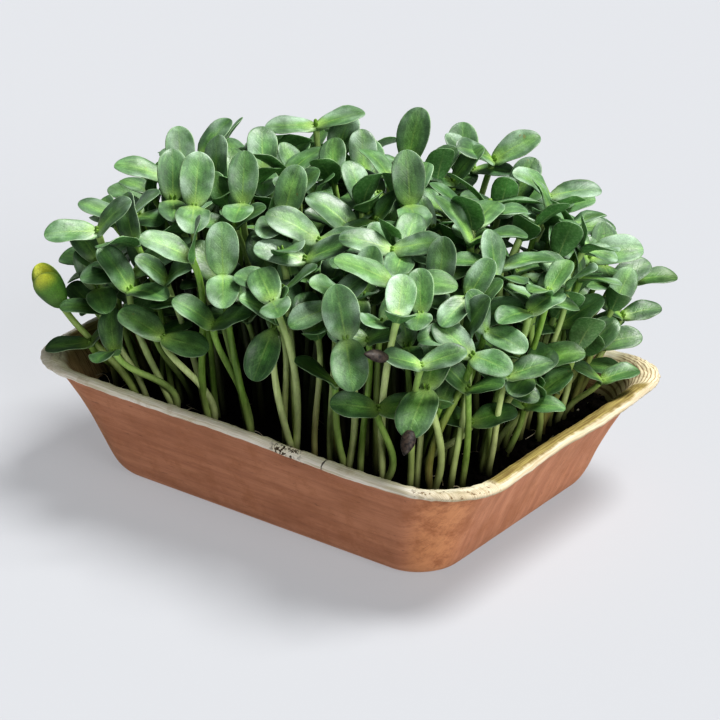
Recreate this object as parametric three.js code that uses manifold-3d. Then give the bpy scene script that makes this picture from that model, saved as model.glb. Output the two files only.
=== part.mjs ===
// Sunflower microgreens growing in a pressed palm-leaf tray.
// Millimetres, +Z up. The origin is the centre of the tray's flat base, and +X runs along its long side.
import * as THREE from "three";
import { mergeVertices } from "three/addons/utils/BufferGeometryUtils.js";
import Module from "manifold-3d";

const wasm = await Module();
wasm.setup();

// Tray: a rounded rectangle at the base that flares out and rolls over into a rim.
const BASE_HALF_X = 80;
const BASE_HALF_Y = 55.7;
const BASE_CORNER = 17;
const RIM_OUT = 30;
const FLARE_Y_SHARE = 0.69;
const CORNER_GROWTH = 0.32;
const CORNER_STEPS = 5;
const LONG_STEPS = 6;
const SHORT_STEPS = 4;
const RIM_WAVE = 0.7;
const RIM_WAVE_FROM = 15;
// The wall's section as [outward, height]: up the outside, round the rim's nose and down the inside.
const OUTSIDE = [
  [-7, 0], [-1.6, 0.5], [2.6, 3.4], [6, 9.5], [9.8, 19], [14.2, 28.5], [18.2, 36], [21.6, 41.6], [25.6, 45.8],
];
const NOSE = [[29.3, 46.6], [RIM_OUT, 47.8], [28.6, 49]];
const INSIDE = [[25.2, 49.2], [21.8, 47.6], [18.2, 43.4], [11.2, 29], [6.8, 18], [1.6, 7], [-7, 2.5]];

// Soil: it fills the tray to below the rim, with an uneven top.
const SOIL_GAP = 0.5;
const SOIL_TOP = 34;
const SOIL_LUMP = 0.9;
const SOIL_RINGS = [0.8, 0.55, 0.28];

// Planting: holes in staggered rows, each holding the roots of two shoots.
const HOLE_ROWS = 7;
const HOLES_PER_ROW = 8;
const PLANTED_HALF_X = 83;
const PLANTED_HALF_Y = 53;
const PLANTED_CORNER = 20;
const HOLE_JITTER = 3.2;
const HOLE_RADIUS = 3.3;
const HOLE_SIDES = 6;
const ROOT_BOTTOM = 26;
const COLLAR_HEIGHT = 36;
const ROOT_SPREAD = 0.95;
const SHOOTS_PER_HOLE = 2;

// Shoots: a stem, called the hypocotyl, under one pair of seed leaves.
const STEM_RADIUS = 1.4;
const STEM_STATIONS = [0.22, 0.46, 0.72, 1];
const STEM_LOW_REACH = 0.36;
const STEM_HIGH_REACH = 0.34;
const BOW_PUSH = { least: 3, spread: 3 };
const BOW_SWAY = 3;
const LEAF_LENGTH = 21.5;
const LEAF_LENGTH_SPREAD = 3;
const LEAF_WIDTH_SHARE = 0.57;
const LEAF_THICKNESS = 1.5;
const LEAF_CUP = 0.9;
const LEAF_ARCH = { least: 14, spread: 26 };
// The leaf's outline as [share of its length, share of its half width].
const LEAF_OUTLINE = [[0.12, 0.56], [0.36, 0.94], [0.64, 1], [0.89, 0.72]];
const CANOPY_TOP = 118;
const EDGE_DROP = 44;
const MIDDLE_DROP = 26;
const CROWN_FALL = 6;
const FAN = 0.17;
const APEX_JITTER = 9;
const OUTWARD_LEAN = 0.42;
const RANDOM_LEAN = 0.34;
const TRIES = 260;
const SEED = 71;

// Clearances kept between the shoots of different holes.
const LEAF_MARGIN = 1.3;
const LEAF_CLEAR = 2.7;
const STEM_CLEAR = 4.2;
const LEAF_SHARES = [0.2, 0.36, 0.52, 0.68, 0.84, 1];
const LEAF_PARTS = [-1, -0.5, 0, 0.5, 1];
const STEM_SAMPLES = 22;
// Leaves end above LEAF_FLOOR. Below STEM_WALL_TOP stems stay WALL_ROOM away from the wall.
const LEAF_FLOOR = 53;
const STEM_WALL_TOP = 52;
const WALL_ROOM_TOP = 43;
const WALL_ROOM = 2.5;

// Shoots placed by eye from the photograph. Across, toward and up are as seen from its side of the tray:
// at is where the pair of leaves joins the stem, heading turns the pair (0 is to the right, 90 is away),
// rise is each leaf's angle above the pair's level, and lean tips the pair across and toward the viewer.
const VIEW_AZIMUTH = 37;
const PLACED = [
  { at: [25, -70, 107], heading: 66, rise: [64, 20], lean: [0.05, 0.1], length: 24 },
  { at: [-112, 2, 74], heading: 100, rise: [80, 76], lean: [-0.5, 0.1], length: 19, closed: true },
  { at: [-101, 6, 60], heading: 186, rise: [6, 30], lean: [-0.2, 0.25], length: 18 },
  { at: [-96, 6, 106], heading: 190, rise: [14, 40], lean: [-0.15, 0.5], length: 21 },
  { at: [-86, -4, 107], heading: 172, rise: [26, 40], lean: [-0.1, 0.2], length: 20 },
  { at: [-96, 4, 82], heading: 100, rise: [34, 10], lean: [-0.15, 0.4], length: 19 },
  { at: [-91, 14, 72], heading: 80, rise: [44, 20], lean: [-0.15, 0.4], length: 18 },
  { at: [-91, -10, 110], heading: 104, rise: [4, 10], lean: [-0.1, 0.3], length: 20 },
  { at: [-88, 20, 84], heading: 128, rise: [42, 20], lean: [0.1, 0.4], length: 21 },
  { at: [-80, 12, 93], heading: 18, rise: [24, 12], lean: [-0.1, 0.45], length: 21 },
  { at: [-78, -6, 106], heading: 84, rise: [46, 16], lean: [-0.05, 0.3], length: 21 },
  { at: [-72, -24, 117], heading: 172, rise: [14, 30], lean: [0, 0.3], length: 21 },
  { at: [-66, -34, 115], heading: 98, rise: [56, 10], lean: [0, 0.2], length: 20 },
  { at: [-70, 34, 74], heading: 150, rise: [10, 14], lean: [0.1, 0.55], length: 20 },
  { at: [-66, 8, 114], heading: 96, rise: [58, 8], lean: [-0.05, 0.25], length: 22 },
  { at: [-58, -46, 119], heading: 24, rise: [42, 14], lean: [0.1, 0.2], length: 21 },
  { at: [-50, 46, 84], heading: 164, rise: [34, 36], lean: [0, 0.45], length: 19 },
  { at: [-46, 42, 103], heading: 92, rise: [60, 6], lean: [0, 0.35], length: 21 },
  { at: [-40, 10, 119], heading: 84, rise: [56, 14], lean: [0, 0.2], length: 21 },
  { at: [-34, -42, 113], heading: 92, rise: [30, 10], lean: [0, 0.3], length: 21 },
  { at: [-27, 56, 87], heading: 252, rise: [-30, 30], lean: [0.1, 0.35], length: 21 },
  { at: [-24, 18, 117], heading: 70, rise: [58, 12], lean: [0.1, 0.3], length: 21 },
  { at: [-14, -62, 127], heading: 8, rise: [16, 6], lean: [0, 0.35], length: 21 },
  { at: [-10, 34, 112], heading: 160, rise: [22, 14], lean: [0, 0.5], length: 23 },
  { at: [-4, 68, 70], heading: 14, rise: [46, 40], lean: [0, 0.15], length: 20 },
  { at: [-5, -54, 114], heading: 76, rise: [44, 20], lean: [0.05, 0.2], length: 21 },
  { at: [8, -48, 110], heading: 100, rise: [40, 20], lean: [0.05, 0.3], length: 20 },
  { at: [6, 64, 104], heading: 75, rise: [40, -14], lean: [0, 0.5], length: 19 },
  { at: [17, 48, 115], heading: 174, rise: [16, 18], lean: [0, 0.45], length: 21 },
  { at: [24, 14, 120], heading: 98, rise: [62, 10], lean: [0, 0.25], length: 22 },
  { at: [34, 62, 106], heading: 80, rise: [62, 8], lean: [0, 0.35], length: 20 },
  { at: [45, 62, 92], heading: 178, rise: [12, 14], lean: [0, 0.62], length: 21 },
  { at: [47, -62, 105], heading: 88, rise: [58, 16], lean: [0, 0.2], length: 22 },
  { at: [46, 76, 58], heading: 192, rise: [22, 14], lean: [0.05, 0.45], length: 18 },
  { at: [53, -48, 108], heading: 30, rise: [38, 16], lean: [0.15, 0.35], length: 22 },
  { at: [66, -28, 105], heading: 66, rise: [42, 16], lean: [0.15, 0.3], length: 21 },
  { at: [69, 50, 69], heading: 4, rise: [20, 24], lean: [0.05, 0.4], length: 22 },
  { at: [81, 34, 79], heading: 24, rise: [30, 22], lean: [0.05, 0.5], length: 20 },
  { at: [80, -36, 106], heading: 10, rise: [28, 30], lean: [0.2, 0.3], length: 21 },
  { at: [86, -18, 97], heading: 8, rise: [14, 26], lean: [0.25, 0.25], length: 21 },
  { at: [94, 2, 94], heading: 10, rise: [12, 34], lean: [0.15, 0.65], length: 22 },
  { at: [104, 0, 82], heading: 40, rise: [16, 20], lean: [0.25, 0.4], length: 19 },
  { at: [115, -8, 80], heading: 26, rise: [16, 0], lean: [0.4, 0.2], length: 18 },
  { at: [109, 4, 71], heading: 18, rise: [20, 30], lean: [0.35, 0.4], length: 17 },
  { at: [98, 14, 62], heading: 14, rise: [20, 30], lean: [0.3, 0.45], length: 18 },
  { at: [91, 16, 53], heading: 350, rise: [16, 44], lean: [0.35, 0.25], length: 17 },
];

// A repeatable stream of numbers from 0 to 1.
function randomStream(seed) {
  let state = seed >>> 0;
  return () => {
    state = (state + 0x6d2b79f5) >>> 0;
    let mixed = Math.imul(state ^ (state >>> 15), state | 1);
    mixed ^= mixed + Math.imul(mixed ^ (mixed >>> 7), mixed | 61);
    return ((mixed ^ (mixed >>> 14)) >>> 0) / 4294967296;
  };
}

const radians = (degrees) => (degrees * Math.PI) / 180;
const vector = (x, y, z) => new THREE.Vector3(x, y, z);

// Turns a point or direction given as across, toward and up into the tray's own axes.
function fromView(across, toward, up) {
  const turn = radians(VIEW_AZIMUTH);
  const x = across * Math.cos(turn) + toward * Math.sin(turn);
  const y = across * Math.sin(turn) - toward * Math.cos(turn);
  return vector(x, y, up);
}

// A rounded rectangle as points in order, anticlockwise from the +X side.
function roundedRectangle(halfX, halfY, radius) {
  const points = [];
  const corners = [[1, 1], [-1, 1], [-1, -1], [1, -1]];
  corners.forEach(([signX, signY], k) => {
    const centreX = signX * (halfX - radius);
    const centreY = signY * (halfY - radius);
    for (let i = 0; i <= CORNER_STEPS; i++) {
      const angle = (Math.PI / 2) * (k + i / CORNER_STEPS);
      points.push([centreX + radius * Math.cos(angle), centreY + radius * Math.sin(angle)]);
    }
    const [nextX, nextY] = corners[(k + 1) % 4];
    const end = k % 2 === 0
      ? [nextX * (halfX - radius), nextY * halfY]
      : [nextX * halfX, nextY * (halfY - radius)];
    const start = points[points.length - 1];
    const steps = k % 2 === 0 ? LONG_STEPS : SHORT_STEPS;
    for (let i = 1; i < steps; i++) {
      const share = i / steps;
      points.push([start[0] + (end[0] - start[0]) * share, start[1] + (end[1] - start[1]) * share]);
    }
  });
  return points;
}

// The tray's outline moved outward from its base outline.
function trayOutline(outward) {
  const outwardY = outward > 0 ? outward * FLARE_Y_SHARE : outward;
  const corner = BASE_CORNER + outward * (outward > 0 ? CORNER_GROWTH : 1);
  return roundedRectangle(BASE_HALF_X + outward, BASE_HALF_Y + outwardY, Math.max(corner, 2));
}

// The rim's gentle unevenness in height, growing from the top of the wall out to the edge.
function rimWave(x, y, outward) {
  const share = Math.max(0, (outward - RIM_WAVE_FROM) / (RIM_OUT - RIM_WAVE_FROM));
  return RIM_WAVE * share * (Math.sin(x * 0.055 + 1.3) + Math.sin(y * 0.09 - x * 0.031) - 0.4);
}

// A closed mesh through rings of equal length, with a flat or peaked cap at each end.
function loft(rings) {
  const positions = rings.flat(2);
  const faces = [];
  const count = rings[0].length;
  for (let r = 0; r + 1 < rings.length; r++) {
    for (let i = 0; i < count; i++) {
      const next = (i + 1) % count;
      const [a, b] = [r * count + i, r * count + next];
      const [c, d] = [b + count, a + count];
      faces.push(a, b, c, a, c, d);
    }
  }
  const last = (rings.length - 1) * count;
  for (let i = 1; i + 1 < count; i++) {
    faces.push(0, i + 1, i);
    faces.push(last, last + i, last + i + 1);
  }
  return geometryFrom(positions, faces);
}

function geometryFrom(positions, faces) {
  const geometry = new THREE.BufferGeometry();
  geometry.setAttribute("position", new THREE.Float32BufferAttribute(positions, 3));
  geometry.setIndex(faces);
  return geometry;
}

function solidFrom(geometry) {
  const bare = geometry.clone();
  bare.deleteAttribute("normal");
  bare.deleteAttribute("uv");
  const merged = mergeVertices(bare, 1e-4);
  const mesh = new wasm.Mesh({
    numProp: 3,
    vertProperties: merged.attributes.position.array,
    triVerts: new Uint32Array(merged.index.array),
  });
  return new wasm.Manifold(mesh);
}

function geometryOf(solid) {
  const mesh = solid.getMesh();
  const stride = mesh.numProp;
  const positions = new Float32Array(mesh.numVert * 3);
  for (let i = 0; i < mesh.numVert; i++) {
    positions.set(mesh.vertProperties.subarray(i * stride, i * stride + 3), i * 3);
  }
  return geometryFrom(positions, Array.from(mesh.triVerts));
}

function trayGeometry() {
  const rings = [...OUTSIDE, ...NOSE, ...INSIDE].map(([outward, height]) =>
    trayOutline(outward).map(([x, y]) => [x, y, height + rimWave(x, y, outward)]),
  );
  return loft(rings);
}

// How far out the inside of the wall stands at a height.
function insideAt(height) {
  for (let i = 0; i + 1 < INSIDE.length; i++) {
    const [outHigh, high] = INSIDE[i];
    const [outLow, low] = INSIDE[i + 1];
    if (height > high || height < low) continue;
    return outLow + ((outHigh - outLow) * (height - low)) / (high - low);
  }
  return INSIDE[INSIDE.length - 1][0];
}

// The soil's top surface, slightly mounded and lumpy, and level with the wall at its edge.
function soilHeight(x, y) {
  const lumps = Math.sin(x * 0.21 + 0.6) * Math.cos(y * 0.27) + 0.6 * Math.sin(x * 0.43 - y * 0.37);
  return SOIL_TOP + SOIL_LUMP * lumps;
}

function soilBlock() {
  const sides = INSIDE.filter(([, height]) => height < SOIL_TOP - 2).reverse();
  const rings = sides.map(([outward, height]) =>
    trayOutline(outward - SOIL_GAP).map(([x, y]) => [x, y, height + SOIL_GAP]),
  );
  const edge = trayOutline(insideAt(SOIL_TOP - 1) - SOIL_GAP);
  rings.push(edge.map(([x, y]) => [x, y, SOIL_TOP - 1]));
  for (const share of SOIL_RINGS) {
    rings.push(edge.map(([x, y]) => [x * share, y * share, soilHeight(x * share, y * share)]));
  }
  return solidFrom(loft(rings));
}

// Root holes in staggered rows, moved a little at random and kept inside the planted area's round corners.
function holePositions() {
  const random = randomStream(SEED);
  const holes = [];
  for (let row = 0; row < HOLE_ROWS; row++) {
    for (let k = 0; k < HOLES_PER_ROW; k++) {
      const stagger = row % 2 === 0 ? 0.28 : -0.22;
      let x = PLANTED_HALF_X * (((k + 0.5 + stagger) / HOLES_PER_ROW) * 2 - 1);
      let y = PLANTED_HALF_Y * ((row / (HOLE_ROWS - 1)) * 2 - 1);
      x += HOLE_JITTER * (random() * 2 - 1);
      y += HOLE_JITTER * (random() * 2 - 1) * (Math.abs(y) > PLANTED_HALF_Y - 1 ? 0.3 : 1);
      const overX = Math.abs(x) - (PLANTED_HALF_X - PLANTED_CORNER);
      const overY = Math.abs(y) - (PLANTED_HALF_Y - PLANTED_CORNER);
      const reach = Math.hypot(Math.max(overX, 0), Math.max(overY, 0));
      if (overX > 0 && overY > 0 && reach > PLANTED_CORNER) {
        x -= Math.sign(x) * overX * (1 - PLANTED_CORNER / reach);
        y -= Math.sign(y) * overY * (1 - PLANTED_CORNER / reach);
      }
      holes.push({ x, y, shoots: [] });
    }
  }
  return holes;
}

// The stem's centre line: straight out of the soil, then a bow that ends along the pair's own axis.
function stemPoint(shoot, share) {
  const collar = vector(shoot.root.x, shoot.root.y, COLLAR_HEIGHT);
  const reach = shoot.apex.distanceTo(collar);
  const low = vector(shoot.bow.x, shoot.bow.y, STEM_LOW_REACH * reach).add(collar);
  const high = shoot.apex.clone().addScaledVector(shoot.axis, -STEM_HIGH_REACH * reach);
  const rest = 1 - share;
  return collar
    .multiplyScalar(rest ** 3)
    .addScaledVector(low, 3 * rest * rest * share)
    .addScaledVector(high, 3 * rest * share * share)
    .addScaledVector(shoot.apex, share ** 3);
}

// One seed leaf's frame: outward and across its blade, square to the pair's axis.
function leafFrame(shoot, side) {
  const outward = shoot.facing.clone().multiplyScalar(side === 0 ? 1 : -1);
  const across = shoot.axis.clone().cross(outward).normalize();
  return { outward, across };
}

// A point on the leaf's middle line, with the blade's normal there.
function leafPoint(shoot, side, share) {
  const { outward } = leafFrame(shoot, side);
  const steps = 6;
  const place = shoot.apex.clone();
  const angleAt = (s) => {
    const bend = shoot.closed ? Math.min(1, 0.66 + s * 1.1) : 1;
    return radians(shoot.rise[side] * bend + shoot.arch * (0.5 - s));
  };
  for (let i = 0; i < steps; i++) {
    const angle = angleAt((share * (i + 0.5)) / steps);
    const step = (shoot.length * share) / steps;
    place.addScaledVector(outward, Math.cos(angle) * step);
    place.addScaledVector(shoot.axis, Math.sin(angle) * step);
  }
  const angle = angleAt(share);
  const normal = outward.clone().multiplyScalar(-Math.sin(angle));
  normal.addScaledVector(shoot.axis, Math.cos(angle));
  return { place, normal };
}

// One seed leaf as a bowed oval slab, for keeping shoots clear of each other.
function leafSlab(shoot, side) {
  const { across } = leafFrame(shoot, side);
  const start = leafPoint(shoot, side, 0.1).place;
  const middle = leafPoint(shoot, side, 0.55);
  const end = leafPoint(shoot, side, 1).place;
  const along = end.clone().sub(start).normalize();
  const normal = along.clone().cross(across).normalize();
  const bulge = middle.place.clone().sub(start.add(end).multiplyScalar(0.5)).dot(normal);
  return {
    centre: middle.place,
    bulge,
    along,
    across,
    normal,
    halfLength: shoot.length / 2 + LEAF_MARGIN,
    halfWidth: shoot.width / 2 + LEAF_MARGIN,
  };
}

// Points spread over a shoot's leaves and along its stem.
function samplePoints(shoot) {
  const leafPoints = [];
  for (const side of [0, 1]) {
    const { across } = leafFrame(shoot, side);
    for (const share of LEAF_SHARES) {
      const half = (shoot.width / 2) * (share > 0.9 || share < 0.3 ? 0.55 : 0.95);
      const { place } = leafPoint(shoot, side, share);
      for (const part of LEAF_PARTS) {
        leafPoints.push(place.clone().addScaledVector(across, part * half));
      }
    }
  }
  const stemPoints = [];
  for (let i = 1; i <= STEM_SAMPLES; i++) stemPoints.push(stemPoint(shoot, i / STEM_SAMPLES));
  return { leafPoints, stemPoints };
}

function insideSlab(point, slab) {
  const x = point.x - slab.centre.x;
  const y = point.y - slab.centre.y;
  const z = point.z - slab.centre.z;
  const along = (x * slab.along.x + y * slab.along.y + z * slab.along.z) / slab.halfLength;
  const depth = x * slab.normal.x + y * slab.normal.y + z * slab.normal.z + slab.bulge * along * along;
  if (Math.abs(depth) > LEAF_CLEAR) return false;
  const across = (x * slab.across.x + y * slab.across.y + z * slab.across.z) / slab.halfWidth;
  return along * along + across * across < 1;
}

// True if a shoot stays clear of a planted one. Stems of one hole may touch, as their roots are joined.
function isClear(shoot, other) {
  if (shoot.apex.distanceTo(other.apex) > 130) return true;
  const sameHole = shoot.hole === other.hole;
  const near = (points, slabs) => slabs.some((slab) => points.some((point) => insideSlab(point, slab)));
  if (near(shoot.leafPoints, other.slabs) || near(other.leafPoints, shoot.slabs)) return false;
  if (near(shoot.stemPoints, other.slabs) || near(other.stemPoints, shoot.slabs)) return false;
  if (sameHole) return true;
  const close = (a, b) => a.distanceToSquared(b) < STEM_CLEAR ** 2;
  return !shoot.stemPoints.some((a) => other.stemPoints.some((b) => close(a, b)));
}

// Leaves stay above the rim and out of the tray's wall.
function clearsTray(shoot) {
  return shoot.leafPoints.every((p) => p.z > LEAF_FLOOR) && shoot.stemPoints.every((p) => {
    if (p.z > STEM_WALL_TOP) return true;
    const room = insideAt(Math.min(p.z, WALL_ROOM_TOP)) - WALL_ROOM;
    return Math.abs(p.x) < BASE_HALF_X + room && Math.abs(p.y) < BASE_HALF_Y + room * FLARE_Y_SHARE;
  });
}

function finishShoot(shoot, random) {
  const turn = radians(shoot.heading);
  const level = vector(Math.cos(turn), Math.sin(turn), 0);
  shoot.facing = level.addScaledVector(shoot.axis, -level.dot(shoot.axis)).normalize();
  shoot.width = shoot.length * LEAF_WIDTH_SHARE * (0.94 + 0.12 * random());
  shoot.arch = LEAF_ARCH.least + LEAF_ARCH.spread * random();
  // The bow starts away from the other stem of the hole.
  const away = (shoot.root.x - shoot.hole.x) / ROOT_SPREAD;
  const beside = (shoot.root.y - shoot.hole.y) / ROOT_SPREAD;
  const push = BOW_PUSH.least + BOW_PUSH.spread * random();
  const sway = BOW_SWAY * (random() * 2 - 1);
  shoot.bow = {
    x: push * away - sway * beside + shoot.root.x * 0.05,
    y: push * beside + sway * away + shoot.root.y * 0.05,
  };
  shoot.slabs = [leafSlab(shoot, 0), leafSlab(shoot, 1)];
  Object.assign(shoot, samplePoints(shoot));
  return shoot;
}

function rootIn(hole) {
  const angle = hole.x * 0.7 + hole.y * 1.3 + Math.PI * hole.shoots.length;
  return { x: hole.x + ROOT_SPREAD * Math.cos(angle), y: hole.y + ROOT_SPREAD * Math.sin(angle) };
}

// A shoot placed by eye. Later tries move it by up to a few millimetres and degrees until it is clear.
function placedShoot(plan, hole, attempt, random) {
  const loose = Math.min(1, attempt / 60);
  const nudge = (size) => size * loose * (random() * 2 - 1);
  const apex = fromView(...plan.at).add(vector(nudge(8), nudge(8), nudge(9)));
  const lean = fromView(plan.lean[0] + nudge(0.2), plan.lean[1] + nudge(0.2), 0);
  const shoot = {
    hole,
    root: rootIn(hole),
    apex,
    axis: vector(lean.x, lean.y, 1).normalize(),
    heading: plan.heading + VIEW_AZIMUTH + nudge(25),
    rise: plan.rise.map((angle) => angle + nudge(12)),
    length: plan.length,
    closed: Boolean(plan.closed),
  };
  return finishShoot(shoot, random);
}

// A shoot placed by rule: fanned outward from its hole, and shorter by chance, most of all at the edge.
function ruledShoot(hole, random) {
  const edgeX = Math.abs(hole.x) / PLANTED_HALF_X;
  const edgeY = Math.abs(hole.y) / PLANTED_HALF_Y;
  const edge = Math.max(edgeX, edgeY) ** 3;
  const drop = (MIDDLE_DROP + (EDGE_DROP - MIDDLE_DROP) * edge) * random() ** 1.2;
  const spread = () => APEX_JITTER * (random() * 2 - 1);
  const top = CANOPY_TOP - CROWN_FALL * edge - drop;
  const apex = vector(hole.x * (1 + FAN) + spread(), hole.y * (1 + FAN) + spread(), top);
  const leanX = (hole.x / PLANTED_HALF_X) * OUTWARD_LEAN + RANDOM_LEAN * (random() * 2 - 1);
  const leanY = (hole.y / PLANTED_HALF_Y) * OUTWARD_LEAN + RANDOM_LEAN * (random() * 2 - 1);
  const shoot = {
    hole,
    root: rootIn(hole),
    apex,
    axis: vector(leanX, leanY, 1).normalize(),
    heading: random() * 360,
    rise: [2 + 58 * random() ** 1.3, 2 + 58 * random() ** 1.3],
    length: LEAF_LENGTH + LEAF_LENGTH_SPREAD * (random() * 2 - 1),
    closed: false,
  };
  return finishShoot(shoot, random);
}

function tryToPlace(make, planted, number) {
  for (let attempt = 0; attempt < TRIES; attempt++) {
    const shoot = make(attempt, randomStream(SEED + number * 1009 + attempt * 31));
    if (clearsTray(shoot) && planted.every((other) => isClear(shoot, other))) return shoot;
  }
  return null;
}

// The hole nearest to where a placed shoot's stem should leave the soil, if it still has room.
function nearestHole(holes, plan) {
  const apex = fromView(...plan.at);
  const height = plan.at[2] - COLLAR_HEIGHT;
  const lean = fromView(plan.lean[0], plan.lean[1], 0);
  const targetX = (apex.x - lean.x * height * 0.25) / (1 + FAN);
  const targetY = (apex.y - lean.y * height * 0.25) / (1 + FAN);
  const free = holes.filter((hole) => hole.shoots.length < SHOOTS_PER_HOLE);
  const distance = (hole) => Math.hypot(hole.x - targetX, hole.y - targetY);
  return free.reduce((best, hole) => (distance(hole) < distance(best) ? hole : best));
}

function plant() {
  const holes = holePositions();
  const planted = [];
  let number = 0;
  const keep = (shoot) => {
    number += 1;
    if (!shoot) return;
    shoot.hole.shoots.push(shoot);
    planted.push(shoot);
  };
  for (const plan of PLACED) {
    const hole = nearestHole(holes, plan);
    keep(tryToPlace((attempt, random) => placedShoot(plan, hole, attempt, random), planted, number));
  }
  for (let round = 0; round < SHOOTS_PER_HOLE; round++) {
    for (const hole of holes) {
      if (hole.shoots.length > round) continue;
      keep(tryToPlace((attempt, random) => ruledShoot(hole, random), planted, number));
    }
  }
  return holes;
}

// A shoot as one closed mesh: a four-sided stem whose top splits into the two leaves.
function shootGeometry(shoot) {
  const positions = [];
  const faces = [];
  const point = (p) => positions.push([p.x, p.y, p.z]) - 1;
  const across = leafFrame(shoot, 0).across;
  // Level in the soil, and square to the pair's axis at the top.
  const ringAt = (centre, share) => [across, shoot.facing, across, shoot.facing].map((direction, i) => {
    const turned = direction.clone();
    turned.z *= share;
    turned.normalize();
    return point(centre.clone().addScaledVector(turned, i < 2 ? STEM_RADIUS : -STEM_RADIUS));
  });
  const quad = (a, b, c, d) => faces.push(a, b, c, a, c, d);

  let ring = ringAt(vector(shoot.root.x, shoot.root.y, ROOT_BOTTOM), 0);
  quad(ring[0], ring[1], ring[2], ring[3]);
  for (const share of [0, ...STEM_STATIONS]) {
    const next = ringAt(stemPoint(shoot, share), share);
    for (let i = 0; i < 4; i++) quad(ring[i], next[i], next[(i + 1) % 4], ring[(i + 1) % 4]);
    ring = next;
  }

  for (const side of [0, 1]) {
    const frame = leafFrame(shoot, side);
    const [left, under, right] = side === 0 ? [ring[0], ring[1], ring[2]] : [ring[2], ring[3], ring[0]];
    let last = null;
    for (const [share, widthShare] of LEAF_OUTLINE) {
      const { place, normal } = leafPoint(shoot, side, share);
      const half = (shoot.width / 2) * widthShare;
      const thick = LEAF_THICKNESS / 2;
      const cup = LEAF_CUP * widthShare * widthShare;
      const at = (sideways, up) => {
        const corner = place.clone().addScaledVector(frame.across, sideways);
        return point(corner.addScaledVector(normal, up));
      };
      const section = [at(half, cup), at(0, -thick), at(-half, cup), at(0, thick)];
      if (last === null) {
        quad(left, section[0], section[1], under);
        quad(under, section[1], section[2], right);
        faces.push(left, section[3], section[0], left, right, section[3], right, section[2], section[3]);
      } else {
        quad(last[0], section[0], section[1], last[1]);
        quad(last[2], last[1], section[1], section[2]);
        quad(last[2], section[2], section[3], last[3]);
        quad(last[0], last[3], section[3], section[0]);
      }
      last = section;
    }
    const tip = point(leafPoint(shoot, side, 1).place);
    for (let i = 0; i < 4; i++) faces.push(last[i], tip, last[(i + 1) % 4]);
  }
  return geometryFrom(positions.flat(), faces);
}

const trayMaterial = new THREE.MeshStandardMaterial({ color: 0xa8694e, roughness: 0.8, metalness: 0 });
const soilMaterial = new THREE.MeshStandardMaterial({ color: 0x1d1713, roughness: 1, metalness: 0 });
const shootMaterial = new THREE.MeshStandardMaterial({ color: 0x4f8a44, roughness: 0.55, metalness: 0 });

const microgreensTray = new THREE.Group();
function addPiece(name, geometry, material) {
  const mesh = new THREE.Mesh(geometry, material);
  mesh.name = name;
  microgreensTray.add(mesh);
}

const holes = plant();
let soil = soilBlock();
for (const hole of holes) {
  if (hole.shoots.length === 0) continue;
  const drill = new THREE.CylinderGeometry(HOLE_RADIUS, HOLE_RADIUS, SOIL_TOP, HOLE_SIDES);
  drill.rotateX(Math.PI / 2);
  drill.translate(hole.x, hole.y, ROOT_BOTTOM - 0.4 + SOIL_TOP / 2);
  soil = soil.subtract(solidFrom(drill));
}
addPiece("tray", trayGeometry(), trayMaterial);
addPiece("soil", geometryOf(soil), soilMaterial);

holes.filter((hole) => hole.shoots.length > 0).forEach((hole, index) => {
  const solids = hole.shoots.map((shoot) => solidFrom(shootGeometry(shoot)));
  const joined = solids.reduce((sum, solid) => sum.add(solid));
  addPiece(`shoots_${String(index + 1).padStart(2, "0")}`, geometryOf(joined), shootMaterial);
});

export default microgreensTray;
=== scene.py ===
# Sunflower microgreens growing in a pressed palm-leaf tray.
# Lengths are in millimetres until a mesh is made. The origin is the centre of the tray's flat base.
import math

import bpy
import numpy as np
from mathutils import Matrix, Vector, noise


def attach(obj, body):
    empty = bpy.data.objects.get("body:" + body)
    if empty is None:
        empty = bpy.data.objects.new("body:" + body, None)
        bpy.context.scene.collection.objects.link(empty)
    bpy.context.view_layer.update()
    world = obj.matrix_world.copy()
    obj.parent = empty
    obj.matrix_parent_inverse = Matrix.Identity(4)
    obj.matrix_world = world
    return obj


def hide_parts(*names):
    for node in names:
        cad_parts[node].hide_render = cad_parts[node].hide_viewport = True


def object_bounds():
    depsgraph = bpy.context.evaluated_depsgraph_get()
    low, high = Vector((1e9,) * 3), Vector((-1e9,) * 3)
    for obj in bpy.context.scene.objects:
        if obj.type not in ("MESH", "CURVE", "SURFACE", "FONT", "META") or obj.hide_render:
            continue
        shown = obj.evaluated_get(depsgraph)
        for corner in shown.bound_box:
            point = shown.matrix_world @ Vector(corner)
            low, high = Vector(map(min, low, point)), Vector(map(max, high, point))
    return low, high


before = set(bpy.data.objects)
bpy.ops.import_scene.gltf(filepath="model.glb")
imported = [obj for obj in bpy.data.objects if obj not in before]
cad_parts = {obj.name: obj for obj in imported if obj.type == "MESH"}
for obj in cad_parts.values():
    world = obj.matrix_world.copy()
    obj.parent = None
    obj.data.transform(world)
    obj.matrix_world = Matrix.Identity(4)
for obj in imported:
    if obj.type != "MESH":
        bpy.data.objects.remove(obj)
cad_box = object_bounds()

MM = 0.001
BODY = "root"

# Tray: a rounded rectangle at the base that flares out and rolls over into a rim.
BASE_HALF_X = 80
BASE_HALF_Y = 55.7
BASE_CORNER = 17
RIM_OUT = 30
FLARE_Y_SHARE = 0.69
CORNER_GROWTH = 0.32
CORNER_STEPS = 26
LONG_STEPS = 84
SHORT_STEPS = 54
RIM_WAVE = 0.7
RIM_WAVE_FROM = 15
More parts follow.
